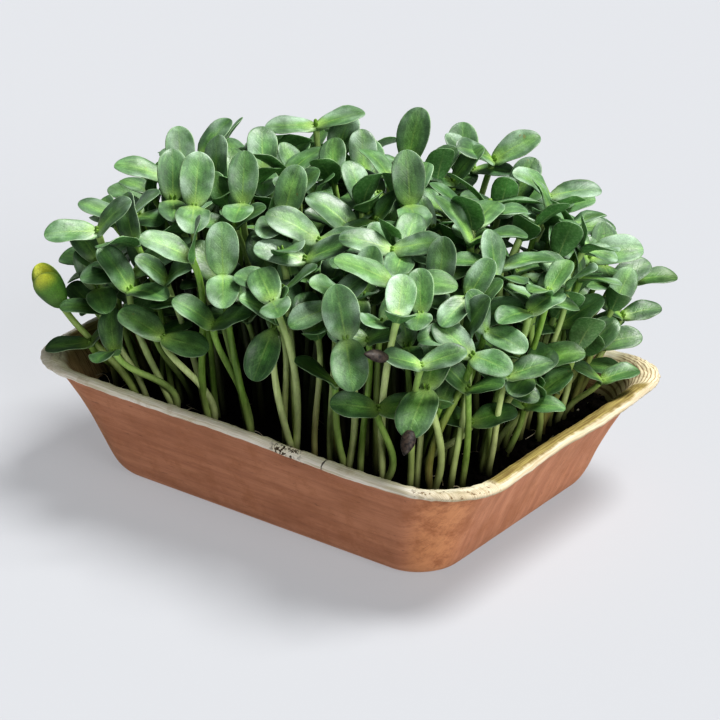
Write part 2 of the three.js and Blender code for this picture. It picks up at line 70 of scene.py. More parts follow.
# The wall's section as [outward, height]: up the outside, round the rim's nose and down the inside.
OUTSIDE = [
    (-7, 0), (-1.6, 0.5), (2.6, 3.4), (6, 9.5), (9.8, 19),
    (14.2, 28.5), (18.2, 36), (21.6, 41.6), (25.6, 45.8),
]
NOSE = [(29.3, 46.6), (RIM_OUT, 47.8), (28.6, 49)]
INSIDE = [(25.2, 49.2), (21.8, 47.6), (18.2, 43.4), (11.2, 29), (6.8, 18), (1.6, 7), (-7, 2.5)]
SECTION_STEPS = 5
PLEAT_RATE = 2.3
PLEAT_DEPTH = 0.5
FRAY_DEPTH = 1.1

# Soil: it fills the tray to below the rim, with an uneven top.
SOIL_GAP = 0.5
SOIL_TOP = 34
SOIL_LUMP = 0.9
SOIL_RINGS = 34
SOIL_CORNER = 15
CRUMB_COUNT = 1500
CRUMBS_PER_BIT = 28
CRUMB_SEED = 901
ROOT_HAIR_COUNT = 80
ROOT_HAIR_POINTS = 9
ROOT_HAIR_SEED = 377

# Planting: holes in staggered rows, each holding the roots of two shoots.
HOLE_ROWS = 7
HOLES_PER_ROW = 8
PLANTED_HALF_X = 83
PLANTED_HALF_Y = 53
PLANTED_CORNER = 20
HOLE_JITTER = 3.2
ROOT_BOTTOM = 26
COLLAR_HEIGHT = 36
ROOT_SPREAD = 0.95
SHOOTS_PER_HOLE = 2

# Shoots: a stem under one pair of seed leaves.
STEM_RADIUS = 1.4
STEM_LOW_REACH = 0.36
STEM_HIGH_REACH = 0.34
BOW_PUSH = (3, 3)
BOW_SWAY = 3
BOW_LEAN = 0.05
LEAF_LENGTH = 21.5
LEAF_LENGTH_SPREAD = 3
LEAF_WIDTH_SHARE = 0.57
LEAF_ARCH = (14, 26)
CANOPY_TOP = 118
EDGE_DROP = 44
MIDDLE_DROP = 26
CROWN_FALL = 6
FAN = 0.17
APEX_JITTER = 9
OUTWARD_LEAN = 0.42
RANDOM_LEAN = 0.34
TRIES = 260
SEED = 71
YOUTH_SEED = 55

# Clearances kept between the shoots of different holes.
LEAF_MARGIN = 1.3
LEAF_CLEAR = 2.7
STEM_CLEAR = 4.2
LEAF_SHARES = np.array([0.2, 0.36, 0.52, 0.68, 0.84, 1.0])
LEAF_PARTS = np.array([-1, -0.5, 0, 0.5, 1])
STEM_SHARES = np.arange(1, 23) / 22
LEAF_POINT_COUNT = 2 * len(LEAF_SHARES) * len(LEAF_PARTS)
# Leaves end above LEAF_FLOOR. Below STEM_WALL_TOP stems stay WALL_ROOM away from the wall.
LEAF_FLOOR = 53
STEM_WALL_TOP = 52
WALL_ROOM_TOP = 43
WALL_ROOM = 2.5

# Shoots placed one by one. Across, toward and up are as seen from the camera's side of the tray:
# at is where the pair of leaves joins the stem, heading turns the pair (0 is to the right, 90 is away),
# rise is each leaf's angle above the pair's level, and lean tips the pair across and toward the viewer.
VIEW_AZIMUTH = 37
VIEW_ELEVATION = 24.35
VIEW_DISTANCE = 1000
VIEW_AIM = (5.1, 17.8)
VIEW_AIM_HEIGHT = 30
# Each row: at, heading, rise, lean, length.
PLACED = [
    ((25, -70, 107), 66, (64, 20), (0.05, 0.1), 24),
    ((-112, 2, 74), 100, (80, 76), (-0.5, 0.1), 19),
    ((-101, 6, 60), 186, (6, 30), (-0.2, 0.25), 18),
    ((-96, 6, 106), 190, (14, 40), (-0.15, 0.5), 21),
    ((-86, -4, 107), 172, (26, 40), (-0.1, 0.2), 20),
    ((-96, 4, 82), 100, (34, 10), (-0.15, 0.4), 19),
    ((-91, 14, 72), 80, (44, 20), (-0.15, 0.4), 18),
    ((-91, -10, 110), 104, (4, 10), (-0.1, 0.3), 20),
    ((-88, 20, 84), 128, (42, 20), (0.1, 0.4), 21),
    ((-80, 12, 93), 18, (24, 12), (-0.1, 0.45), 21),
    ((-78, -6, 106), 84, (46, 16), (-0.05, 0.3), 21),
    ((-72, -24, 117), 172, (14, 30), (0, 0.3), 21),
    ((-66, -34, 115), 98, (56, 10), (0, 0.2), 20),
    ((-70, 34, 74), 150, (10, 14), (0.1, 0.55), 20),
    ((-66, 8, 114), 96, (58, 8), (-0.05, 0.25), 22),
    ((-58, -46, 119), 24, (42, 14), (0.1, 0.2), 21),
    ((-50, 46, 84), 164, (34, 36), (0, 0.45), 19),
    ((-46, 42, 103), 92, (60, 6), (0, 0.35), 21),
    ((-40, 10, 119), 84, (56, 14), (0, 0.2), 21),
    ((-34, -42, 113), 92, (30, 10), (0, 0.3), 21),
    ((-27, 56, 87), 252, (-30, 30), (0.1, 0.35), 21),
    ((-24, 18, 117), 70, (58, 12), (0.1, 0.3), 21),
    ((-14, -62, 127), 8, (16, 6), (0, 0.35), 21),
    ((-10, 34, 112), 160, (22, 14), (0, 0.5), 23),
    ((-4, 68, 70), 14, (46, 40), (0, 0.15), 20),
    ((-5, -54, 114), 76, (44, 20), (0.05, 0.2), 21),
    ((8, -48, 110), 100, (40, 20), (0.05, 0.3), 20),
    ((6, 64, 104), 75, (40, -14), (0, 0.5), 19),
    ((17, 48, 115), 174, (16, 18), (0, 0.45), 21),
    ((24, 14, 120), 98, (62, 10), (0, 0.25), 22),
    ((34, 62, 106), 80, (62, 8), (0, 0.35), 20),
    ((45, 62, 92), 178, (12, 14), (0, 0.62), 21),
    ((47, -62, 105), 88, (58, 16), (0, 0.2), 22),
    ((46, 76, 58), 192, (22, 14), (0.05, 0.45), 18),
    ((53, -48, 108), 30, (38, 16), (0.15, 0.35), 22),
    ((66, -28, 105), 66, (42, 16), (0.15, 0.3), 21),
    ((69, 50, 69), 4, (20, 24), (0.05, 0.4), 22),
    ((81, 34, 79), 24, (30, 22), (0.05, 0.5), 20),
    ((80, -36, 106), 10, (28, 30), (0.2, 0.3), 21),
    ((86, -18, 97), 8, (14, 26), (0.25, 0.25), 21),
    ((94, 2, 94), 10, (12, 34), (0.15, 0.65), 22),
    ((104, 0, 82), 40, (16, 20), (0.25, 0.4), 19),
    ((115, -8, 80), 26, (16, 0), (0.4, 0.2), 18),
    ((109, 4, 71), 18, (20, 30), (0.35, 0.4), 17),
    ((98, 14, 62), 14, (20, 30), (0.3, 0.45), 18),
    ((91, 16, 53), 350, (16, 44), (0.35, 0.25), 17),
]
CLOSED_PAIR = 1

# Shoots that fill in between the planted ones, some of them placed one by one like those above.
FILL_PLACED = [
    ((80, -30, 110), 4, (18, 30), (0.2, 0.35), 21),
    ((14, -55, 117), 60, (50, 20), (0, 0.3), 19),
    ((3, -45, 108), 130, (50, 30), (0, 0.3), 20),
    ((43, -45, 109), 20, (50, 30), (0, 0.3), 20),
    ((52, -52, 112), 150, (40, 20), (0.1, 0.3), 19),
    ((61, -45, 109), 80, (54, 30), (0.1, 0.3), 20),
    ((-94, -18, 112), 164, (20, 30), (-0.1, 0.3), 18),
    ((-24, -46, 108), 150, (30, 20), (0, 0.3), 21),
    ((-30, -56, 104), 30, (44, 24), (0, 0.3), 20),
    ((-14, -44, 108), 60, (40, 24), (0, 0.3), 20),
    ((-2, -30, 106), 20, (44, 30), (0, 0.3), 20),
    ((12, -52, 106), 110, (44, 30), (0, 0.3), 20),
    ((34, -46, 108), 40, (40, 30), (0, 0.3), 21),
    ((52, -44, 104), 70, (50, 20), (0.1, 0.3), 20),
    ((62, -40, 98), 10, (36, 30), (0.1, 0.3), 21),
    ((72, -34, 100), 14, (24, 30), (0.2, 0.35), 20),
    ((72, -6, 96), 20, (40, 20), (0.1, 0.4), 20),
    ((84, -24, 94), 4, (16, 24), (0.2, 0.4), 20),
    ((88, -4, 88), 60, (30, 20), (0.2, 0.4), 19),
    ((98, -8, 84), 100, (40, 20), (0.2, 0.4), 18),
    ((110, 0, 74), 20, (20, 30), (0.3, 0.4), 18),
    ((112, -6, 72), 350, (24, 30), (0.3, 0.4), 17),
    ((98, 2, 60), 30, (20, 30), (0.3, 0.4), 16),
    ((-92, -14, 100), 140, (34, 20), (-0.1, 0.3), 19),
    ((-96, 0, 92), 120, (30, 30), (-0.2, 0.4), 18),
    ((-98, 6, 76), 200, (30, 40), (-0.2, 0.3), 17),
    ((-84, -2, 96), 60, (40, 20), (-0.1, 0.4), 20),
    ((-60, -30, 108), 40, (40, 30), (0, 0.3), 21),
    ((-36, -36, 108), 130, (40, 30), (0, 0.3), 21),
]
FILL_COUNT = 330
FILL_GROUPS = 10
FILL_TRIES = 45
FILL_TOP = 119
FILL_EDGE_FALL = 16
FILL_DROP = 50
FILL_DROP_POWER = 1.7
FILL_FRONT_FLOOR = 82
FILL_LENGTH = (15, 21.5)
FILL_LEAF_CLEAR = 0.35
FILL_BOX_MARGIN = 1.2
FILL_STEM_CLEAR = 2.7
# The mound's outline in the view from the front corner. Each row: across, up.
SKYLINE = [
    (-124, 46),
    (-112, 60),
    (-102, 73),
    (-92, 79),
    (-78, 86),
    (-50, 90),
    (-30, 99),
    (-4, 98),
    (28, 97),
    (56, 89),
    (70, 80),
    (78, 73),
    (97, 74),
    (102, 57),
    (112, 47),
    (124, 37),
]

# Seed husks: the length and width of one, and where they show from the front corner, as across, up.
HUSK_SIZE = (9.5, 5.6)
HUSK_PLACES = [(10, 3), (23, -31)]
HUSK_NEARNESS = 0.06
HUSK_RINGS = 16
HUSK_SIDES = 14

# Fineness of a shoot's mesh, for a planted one and for a filling one.
LEAF_RINGS = (16, 12)
LEAF_SIDES = (18, 14)
STEM_RINGS = (16, 10)
STEM_SIDES = (12, 8)
BLADE_WIDEST = 0.57
BLADE_FULLNESS = 1.05


# Random numbers and frames of reference.
def random_stream(seed):
    """A repeatable stream of numbers from 0 to 1."""
    mask = 0xFFFFFFFF
    state = seed & mask

    def draw():
        nonlocal state
        state = (state + 0x6D2B79F5) & mask
        mixed = ((state ^ (state >> 15)) * (state | 1)) & mask
        mixed ^= (mixed + (((mixed ^ (mixed >> 7)) * (mixed | 61)) & mask)) & mask
        return (mixed ^ (mixed >> 14)) / 4294967296

    return draw


def from_view(across, toward, up):
    """A point or direction given as across, toward and up, in the tray's own axes."""
    turn = math.radians(VIEW_AZIMUTH)
    x = across * math.cos(turn) + toward * math.sin(turn)
    y = across * math.sin(turn) - toward * math.cos(turn)
    return np.array([x, y, up], float)


def seen_from_front(points):
    """Across and up of the points as they show from the front corner."""
    turn, tilt = math.radians(VIEW_AZIMUTH), math.radians(VIEW_ELEVATION)
    across = points[:, 0] * math.cos(turn) + points[:, 1] * math.sin(turn) - VIEW_AIM[0]
    toward = points[:, 0] * math.sin(turn) - points[:, 1] * math.cos(turn)
    height = points[:, 2] - VIEW_AIM_HEIGHT
    up = height * math.cos(tilt) - toward * math.sin(tilt) - VIEW_AIM[1]
    near = toward * math.cos(tilt) + height * math.sin(tilt)
    scale = VIEW_DISTANCE / (VIEW_DISTANCE - near)
    return across * scale, up * scale, toward


def unit(v):
    return v / np.linalg.norm(v)


# Planting: the same seeded rule that places the CAD shoots.
def hole_positions():
    """Root holes in staggered rows, moved a little at random and kept inside the planted area's corners."""
    random = random_stream(SEED)
    holes = []
    for row in range(HOLE_ROWS):
        for k in range(HOLES_PER_ROW):
            stagger = 0.28 if row % 2 == 0 else -0.22
            x = PLANTED_HALF_X * (((k + 0.5 + stagger) / HOLES_PER_ROW) * 2 - 1)
            y = PLANTED_HALF_Y * ((row / (HOLE_ROWS - 1)) * 2 - 1)
            x += HOLE_JITTER * (random() * 2 - 1)
            y += HOLE_JITTER * (random() * 2 - 1) * (0.3 if abs(y) > PLANTED_HALF_Y - 1 else 1)
            over_x = abs(x) - (PLANTED_HALF_X - PLANTED_CORNER)
            over_y = abs(y) - (PLANTED_HALF_Y - PLANTED_CORNER)
            reach = math.hypot(max(over_x, 0), max(over_y, 0))
            if over_x > 0 and over_y > 0 and reach > PLANTED_CORNER:
                x -= math.copysign(1, x) * over_x * (1 - PLANTED_CORNER / reach)
                y -= math.copysign(1, y) * over_y * (1 - PLANTED_CORNER / reach)
            holes.append({"x": x, "y": y, "shoots": []})
    return holes


def stem_points(shoot, shares):
    """The stem's centre line: straight out of the soil, then a bow that ends along the pair's own axis."""
    share = np.asarray(shares, float)[:, None]
    rest = 1 - share
    collar = np.array([shoot["root"][0], shoot["root"][1], COLLAR_HEIGHT], float)
    reach = np.linalg.norm(shoot["apex"] - collar)
    low = collar + np.array([shoot["bow"][0], shoot["bow"][1], STEM_LOW_REACH * reach])
    high = shoot["apex"] - STEM_HIGH_REACH * reach * shoot["axis"]
    return (
        rest**3 * collar
        + 3 * rest * rest * share * low
        + 3 * rest * share * share * high
        + share**3 * shoot["apex"]
    )


def leaf_frame(shoot, side):
    """Outward and across one leaf's blade, square to the pair's axis."""
    outward = shoot["facing"] if side == 0 else -shoot["facing"]
    return outward, unit(np.cross(shoot["axis"], outward))


def leaf_angle(shoot, side, share):
    """The blade's angle above the pair's level, in radians."""
    bend = np.minimum(1, 0.66 + share * 1.1) if shoot["closed"] else 1
    return np.radians(shoot["rise"][side] * bend + shoot["arch"] * (0.5 - share))


def leaf_points(shoot, side, shares):
    """Points on the leaf's middle line, with the blade's normal at each."""
    outward, _ = leaf_frame(shoot, side)
    steps = 6
    share = np.asarray(shares, float)
    angle = leaf_angle(shoot, side, share[:, None] * (np.arange(steps) + 0.5) / steps)
    stride = (shoot["length"] * share / steps)[:, None]
    run = np.cos(angle).sum(1)[:, None] * stride
    climb = np.sin(angle).sum(1)[:, None] * stride
    place = shoot["apex"] + run * outward + climb * shoot["axis"]
    end = leaf_angle(shoot, side, share)[:, None]
    normal = np.cos(end) * shoot["axis"] - np.sin(end) * outward
    return place, normal


def leaf_slab(shoot, side):
    """One leaf as a bowed oval slab: centre, along, across, normal, bulge, half length, half width."""
    _, across = leaf_frame(shoot, side)
    (start, middle, end), _ = leaf_points(shoot, side, [0.1, 0.55, 1])
    along = unit(end - start)
    normal = unit(np.cross(along, across))
    bulge = (middle - (start + end) / 2) @ normal
    sizes = [bulge, shoot["length"] / 2 + LEAF_MARGIN, shoot["width"] / 2 + LEAF_MARGIN]
    return np.concatenate([middle, along, across, normal, sizes])


def sample_points(shoot):
    """Points spread over the leaves, then points along the stem."""
    half = shoot["width"] / 2 * np.where((LEAF_SHARES > 0.9) | (LEAF_SHARES < 0.3), 0.55, 0.95)
    groups = []
    for side in (0, 1):
        _, across = leaf_frame(shoot, side)
        place, _ = leaf_points(shoot, side, LEAF_SHARES)
        sideways = (half[:, None] * LEAF_PARTS)[:, :, None] * across
        groups.append((place[:, None, :] + sideways).reshape(-1, 3))
    groups.append(stem_points(shoot, STEM_SHARES))
    return np.concatenate(groups)


def any_inside(points, slabs, clear, margin):
    """True if any of the points is inside any of the slabs, thickened by clear."""

    def offset(axis):
        return points @ axis.T - (slabs[:, 0:3] * axis).sum(1)

    along = offset(slabs[:, 3:6]) / (slabs[:, 13] + margin)
    depth = offset(slabs[:, 9:12]) + slabs[:, 12] * along * along
    across = offset(slabs[:, 6:9]) / (slabs[:, 14] + margin)
    return bool(((np.abs(depth) <= clear) & (along * along + across * across < 1)).any())


def is_clear(shoot, planted, leaf_clear=LEAF_CLEAR, margin=0.0, stem_clear=STEM_CLEAR):
    """True if a shoot stays clear of the planted ones. Stems of one hole may touch."""
    if not planted:
        return True
    middles = np.array([other["middle"] for other in planted])
    radii = np.array([other["radius"] for other in planted])
    apexes = np.array([other["apex"] for other in planted])
    close = np.linalg.norm(middles - shoot["middle"], axis=1) < radii + shoot["radius"] + 2 * leaf_clear + 4
    close &= np.linalg.norm(apexes - shoot["apex"], axis=1) <= 130
    near = [planted[i] for i in np.nonzero(close)[0]]
    if not near:
        return True
    slabs = np.concatenate([other["slabs"] for other in near])
    if any_inside(shoot["points"], slabs, leaf_clear, margin):
        return False
    others = np.concatenate([other["points"] for other in near])
    if any_inside(others, shoot["slabs"], leaf_clear, margin):
        return False
    apart = [other["points"][LEAF_POINT_COUNT:] for other in near if other["hole"] is not shoot["hole"]]
    if not apart:
        return True
    stems = np.concatenate(apart)
    own = shoot["points"][LEAF_POINT_COUNT:]
    squared = ((own[:, None, :] - stems[None, :, :]) ** 2).sum(2)
    return bool((squared >= stem_clear**2).all())


def inside_at(height):
    """How far out the inside of the wall stands at a height."""
    heights = [high for _, high in reversed(INSIDE)]
    outs = [out for out, _ in reversed(INSIDE)]
    return np.interp(height, heights, outs)


def clears_tray(shoot):
    """True if the leaves stay above the rim and the stem out of the tray's wall."""
    if (shoot["points"][:LEAF_POINT_COUNT, 2] <= LEAF_FLOOR).any():
        return False
    stem = shoot["points"][LEAF_POINT_COUNT:]
    stem = stem[stem[:, 2] <= STEM_WALL_TOP]
    room = inside_at(np.minimum(stem[:, 2], WALL_ROOM_TOP)) - WALL_ROOM
    fits_x = np.abs(stem[:, 0]) < BASE_HALF_X + room
    fits_y = np.abs(stem[:, 1]) < BASE_HALF_Y + room * FLARE_Y_SHARE
    return bool((fits_x & fits_y).all())


def finish_shoot(shoot, random):
    turn = math.radians(shoot["heading"])
    level = np.array([math.cos(turn), math.sin(turn), 0.0])
    shoot["facing"] = unit(level - (level @ shoot["axis"]) * shoot["axis"])
    shoot["width"] = shoot["length"] * LEAF_WIDTH_SHARE * (0.94 + 0.12 * random())
    shoot["arch"] = LEAF_ARCH[0] + LEAF_ARCH[1] * random()
    # The bow starts away from the other stem of the hole.
    away = (shoot["root"][0] - shoot["hole"]["x"]) / ROOT_SPREAD
    beside = (shoot["root"][1] - shoot["hole"]["y"]) / ROOT_SPREAD
    push = BOW_PUSH[0] + BOW_PUSH[1] * random()
    sway = BOW_SWAY * (random() * 2 - 1)
    shoot["bow"] = (
        push * away - sway * beside + shoot["root"][0] * BOW_LEAN,
        push * beside + sway * away + shoot["root"][1] * BOW_LEAN,
    )
    shoot["slabs"] = np.array([leaf_slab(shoot, 0), leaf_slab(shoot, 1)])
    shoot["points"] = sample_points(shoot)
    shoot["middle"] = shoot["points"].mean(0)
    shoot["radius"] = np.linalg.norm(shoot["points"] - shoot["middle"], axis=1).max()
    return shoot


def root_in(hole):
    angle = hole["x"] * 0.7 + hole["y"] * 1.3 + math.pi * len(hole["shoots"])
    return hole["x"] + ROOT_SPREAD * math.cos(angle), hole["y"] + ROOT_SPREAD * math.sin(angle)


def placed_shoot(row, hole, attempt, random):
    """A shoot placed as listed. Later tries move it by up to a few millimetres and degrees until it is clear.
    """
    at, heading, rise, lean, length = PLACED[row]
    loose = min(1, attempt / 60)

    def nudge(size):
        return size * loose * (random() * 2 - 1)

    apex = from_view(*at) + np.array([nudge(8), nudge(8), nudge(9)])
    tip = from_view(lean[0] + nudge(0.2), lean[1] + nudge(0.2), 0)
    shoot = {
        "hole": hole,
        "root": root_in(hole),
        "apex": apex,
        "axis": unit(np.array([tip[0], tip[1], 1.0])),
        "heading": heading + VIEW_AZIMUTH + nudge(25),
        "rise": [angle + nudge(12) for angle in rise],
        "length": length,
        "closed": row == CLOSED_PAIR,
    }
    return finish_shoot(shoot, random)


def ruled_shoot(hole, random):
    """A shoot placed by rule: fanned outward from its hole, and shorter by chance, most at the edge."""
    edge_x = abs(hole["x"]) / PLANTED_HALF_X
    edge_y = abs(hole["y"]) / PLANTED_HALF_Y
    edge = max(edge_x, edge_y) ** 3
    drop = (MIDDLE_DROP + (EDGE_DROP - MIDDLE_DROP) * edge) * random() ** 1.2
    top = CANOPY_TOP - CROWN_FALL * edge - drop
    apex_x = hole["x"] * (1 + FAN) + APEX_JITTER * (random() * 2 - 1)
    apex_y = hole["y"] * (1 + FAN) + APEX_JITTER * (random() * 2 - 1)
    lean_x = (hole["x"] / PLANTED_HALF_X) * OUTWARD_LEAN + RANDOM_LEAN * (random() * 2 - 1)
    lean_y = (hole["y"] / PLANTED_HALF_Y) * OUTWARD_LEAN + RANDOM_LEAN * (random() * 2 - 1)
    shoot = {
        "hole": hole,
        "root": root_in(hole),
        "apex": np.array([apex_x, apex_y, top]),
        "axis": unit(np.array([lean_x, lean_y, 1.0])),
        "heading": random() * 360,
        "rise": [2 + 58 * random() ** 1.3, 2 + 58 * random() ** 1.3],
        "length": LEAF_LENGTH + LEAF_LENGTH_SPREAD * (random() * 2 - 1),
        "closed": False,
    }
    return finish_shoot(shoot, random)


def nearest_hole(holes, row):
    """The hole nearest to where a placed shoot's stem should leave the soil, if it still has room."""
    at, _, _, lean, _ = PLACED[row]
    apex = from_view(*at)
    height = at[2] - COLLAR_HEIGHT
    tip = from_view(lean[0], lean[1], 0)
    target_x = (apex[0] - tip[0] * height * 0.25) / (1 + FAN)
    target_y = (apex[1] - tip[1] * height * 0.25) / (1 + FAN)
    free = [hole for hole in holes if len(hole["shoots"]) < SHOOTS_PER_HOLE]
    return min(free, key=lambda hole: math.hypot(hole["x"] - target_x, hole["y"] - target_y))


def plant():
    """The holes with their shoots, and all the shoots in the order they were planted."""
    holes = hole_positions()
    planted = []
    number = 0

    def try_to_place(make):
        nonlocal number
        for attempt in range(TRIES):
            shoot = make(attempt, random_stream(SEED + number * 1009 + attempt * 31))
            if clears_tray(shoot) and is_clear(shoot, planted):
                shoot["hole"]["shoots"].append(shoot)
                planted.append(shoot)
                break
        number += 1

    for row in range(len(PLACED)):
        hole = nearest_hole(holes, row)
        try_to_place(lambda attempt, random: placed_shoot(row, hole, attempt, random))
    for round_number in range(SHOOTS_PER_HOLE):
        for hole in holes:
            if len(hole["shoots"]) <= round_number:
                try_to_place(lambda attempt, random: ruled_shoot(hole, random))
    return [hole for hole in holes if hole["shoots"]], planted


def fill_shoot(x, y, apex, heading, rise, lean, length, random):
    """A filling shoot with its root at x, y. It has the soil to itself."""
    shoot = {
        "hole": {"x": x, "y": y, "shoots": []},
        "root": (x, y),
        "apex": apex,
        "axis": unit(np.array([lean[0], lean[1], 1.0])),
        "heading": heading,
        "rise": rise,
        "length": length,
        "closed": False,
    }
    return finish_shoot(shoot, random)


def eye_filler(row, random):
    at, heading, rise, lean, length = FILL_PLACED[row]
    apex = from_view(*at) + 6 * np.array([random() - 0.5, random() - 0.5, random() - 0.5])
    tip = from_view(lean[0], lean[1], 0)
    halves = np.array([PLANTED_HALF_X, PLANTED_HALF_Y])
    inward = np.clip(apex[:2] / (1 + FAN), -halves, halves)
    x, y = inward + 5 * np.array([random() - 0.5, random() - 0.5])
    return fill_shoot(x, y, apex, heading + VIEW_AZIMUTH, list(rise), tip, length, random)


def fits_mound(shoot):
    """True if the leaves stay under the mound's outline, and above the bare stems at the front."""
    leaves = shoot["points"][:LEAF_POINT_COUNT]
    across, up, toward = seen_from_front(leaves)
    rows = np.array(SKYLINE)
    if (up > np.interp(across, rows[:, 0], rows[:, 1], left=-200, right=-200)).any():
        return False
    low, high = np.array(cad_box) / MM
    if (leaves < low + FILL_BOX_MARGIN).any() or (leaves > high - FILL_BOX_MARGIN).any():
        return False
    in_front = np.clip(toward / 45, 0, 1) * np.clip((70 - across) / 60, 0, 1)
    return bool((leaves[:, 2] > LEAF_FLOOR + (FILL_FRONT_FLOOR - LEAF_FLOOR) * in_front).all())


def ruled_filler(random):
    x = PLANTED_HALF_X * 1.02 * (random() * 2 - 1)
    y = PLANTED_HALF_Y * 1.02 * (random() * 2 - 1)
    edge = max(abs(x) / PLANTED_HALF_X, abs(y) / PLANTED_HALF_Y) ** 2
    top = FILL_TOP - FILL_EDGE_FALL * edge - FILL_DROP * random() ** FILL_DROP_POWER
    spread = 1.06 + 0.2 * random()
    apex = np.array([x * spread + 12 * (random() - 0.5), y * spread + 12 * (random() - 0.5), top])
    lean_x = x / PLANTED_HALF_X * 0.45 + 0.6 * (random() - 0.5)
    lean_y = y / PLANTED_HALF_Y * 0.45 + 0.6 * (random() - 0.5)
    small, large = FILL_LENGTH
    rise = [4 + 58 * random(), 4 + 58 * random()]
    heading = random() * 360
    length = small + (large - small) * random()
    return fill_shoot(x, y, apex, heading, rise, (lean_x, lean_y), length, random)


def fill_shoots(planted):
    """Shoots between the planted ones, with closer clearances, so that some of them still cross."""
    fillers = []
    for number in range(len(FILL_PLACED) + FILL_COUNT):
        for attempt in range(FILL_TRIES):
            random = random_stream(SEED * 7 + number * 613 + attempt * 17)
            by_eye = number < len(FILL_PLACED)
            shoot = eye_filler(number, random) if by_eye else ruled_filler(random)
            if not clears_tray(shoot) or not fits_mound(shoot):
                continue
            if is_clear(shoot, planted + fillers, FILL_LEAF_CLEAR, -LEAF_MARGIN, FILL_STEM_CLEAR):
                fillers.append(shoot)
                break
    return fillers


# Meshes.
class Shape:
    """Vertices, faces and per-vertex values gathered into one mesh."""

    def __init__(self):
        self.points = []
        self.faces = []
        self.materials = []
        self.values = {}
        self.count = 0

    def add(self, points, faces, material=0, **values):
        points = np.asarray(points, float).reshape(-1, 3)
        self.points.append(points)
        self.faces.extend([tuple(i + self.count for i in face) for face in faces])
        self.materials.extend([material] * len(faces))
        for name, value in values.items():
            full = np.broadcast_to(np.asarray(value, float), (len(points), 3))
            self.values.setdefault(name, []).append(full)
        self.count += len(points)

    def build(self, name, materials, slot, replaced=(), smooth=True):
        mesh = bpy.data.meshes.new(name)
        mesh.from_pydata(np.concatenate(self.points) * MM, [], self.faces)
        for key, parts in self.values.items():
            attribute = mesh.attributes.new(key, "FLOAT_VECTOR", "POINT")
            attribute.data.foreach_set("vector", np.concatenate(parts).astype(np.float32).ravel())
        for material in materials:
            mesh.materials.append(material)
        mesh.polygons.foreach_set("material_index", self.materials)
        mesh.polygons.foreach_set("use_smooth", [smooth] * len(self.faces))
        mesh.update()
        piece = bpy.data.objects.new(name, mesh)
        bpy.context.scene.collection.objects.link(piece)
        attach(piece, BODY)
        if replaced:
            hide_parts(*replaced)
        return piece


def ring_faces(rings, around, close_start=True, close_end=True):
    """Faces through rings of equal length, with each end closed by one face."""
    faces = []
    for r in range(rings - 1):
        for i in range(around):
            j = (i + 1) % around
            faces.append((r * around + i, r * around + j, (r + 1) * around + j, (r + 1) * around + i))
    if close_start:
        faces.append(tuple(reversed(range(around))))
    if close_end:
        faces.append(tuple(range((rings - 1) * around, rings * around)))
    return faces


def circle(count):
    """Angles evenly round a circle."""
    return np.arange(count) * 2 * math.pi / count


def tube(path, radii, sides):
    """Points of a tube round a path, with parallel cross sections."""
    path = np.asarray(path, float)
    tangents = np.gradient(path, axis=0)
    tangents /= np.linalg.norm(tangents, axis=1)[:, None]
    side = np.cross(tangents[0], [0.31, 0.87, 0.39])
    rings = []
    angles = circle(sides)
    for centre, tangent, radius in zip(path, tangents, np.broadcast_to(radii, len(path))):
        side = unit(side - (side @ tangent) * tangent)
        other = np.cross(tangent, side)
        rings.append(centre + radius * (np.cos(angles)[:, None] * side + np.sin(angles)[:, None] * other))
    return np.concatenate(rings)


def ripple(points, size, seed):
    """Smooth noise from -1 to 1 at each point, with features of the given size in millimetres."""
    shift = Vector((seed * 7.3, seed * 3.1, seed * 5.7))
    return np.array([noise.noise(Vector(p) / size + shift) for p in np.asarray(points, float)])


# Tray.
def rounded_rectangle(half_x, half_y, radius):
    """A rounded rectangle as points anticlockwise from the +X side, with each point's outward direction."""
    points = []
    normals = []
    corners = [(1, 1), (-1, 1), (-1, -1), (1, -1)]
    for k, (sign_x, sign_y) in enumerate(corners):
        for i in range(CORNER_STEPS + 1):
            angle = (math.pi / 2) * (k + i / CORNER_STEPS)
            normal = (math.cos(angle), math.sin(angle))
            corner_x, corner_y = sign_x * (half_x - radius), sign_y * (half_y - radius)
            points.append((corner_x + radius * normal[0], corner_y + radius * normal[1]))
            normals.append(normal)
        next_x, next_y = corners[(k + 1) % 4]
        along_x = k % 2 == 0
        if along_x:
            end = (next_x * (half_x - radius), next_y * half_y)
        else:
            end = (next_x * half_x, next_y * (half_y - radius))
        start = points[-1]
        steps = LONG_STEPS if along_x else SHORT_STEPS
        for i in range(1, steps):
            share = i / steps
            points.append((start[0] + (end[0] - start[0]) * share, start[1] + (end[1] - start[1]) * share))
            normals.append(normal)
    return np.array(points), np.array(normals)


def tray_outline(outward):
    """The tray's outline moved outward from its base outline."""
    outward_y = outward * FLARE_Y_SHARE if outward > 0 else outward
    corner = BASE_CORNER + outward * (CORNER_GROWTH if outward > 0 else 1)
    return rounded_rectangle(BASE_HALF_X + outward, BASE_HALF_Y + outward_y, max(corner, 2))


def rim_wave(points, outward):
    """The rim's gentle unevenness in height, growing from the top of the wall out to the edge."""
    share = max(0, (outward - RIM_WAVE_FROM) / (RIM_OUT - RIM_WAVE_FROM))
    x, y = points[:, 0], points[:, 1]
    return RIM_WAVE * share * (np.sin(x * 0.055 + 1.3) + np.sin(y * 0.09 - x * 0.031) - 0.4)


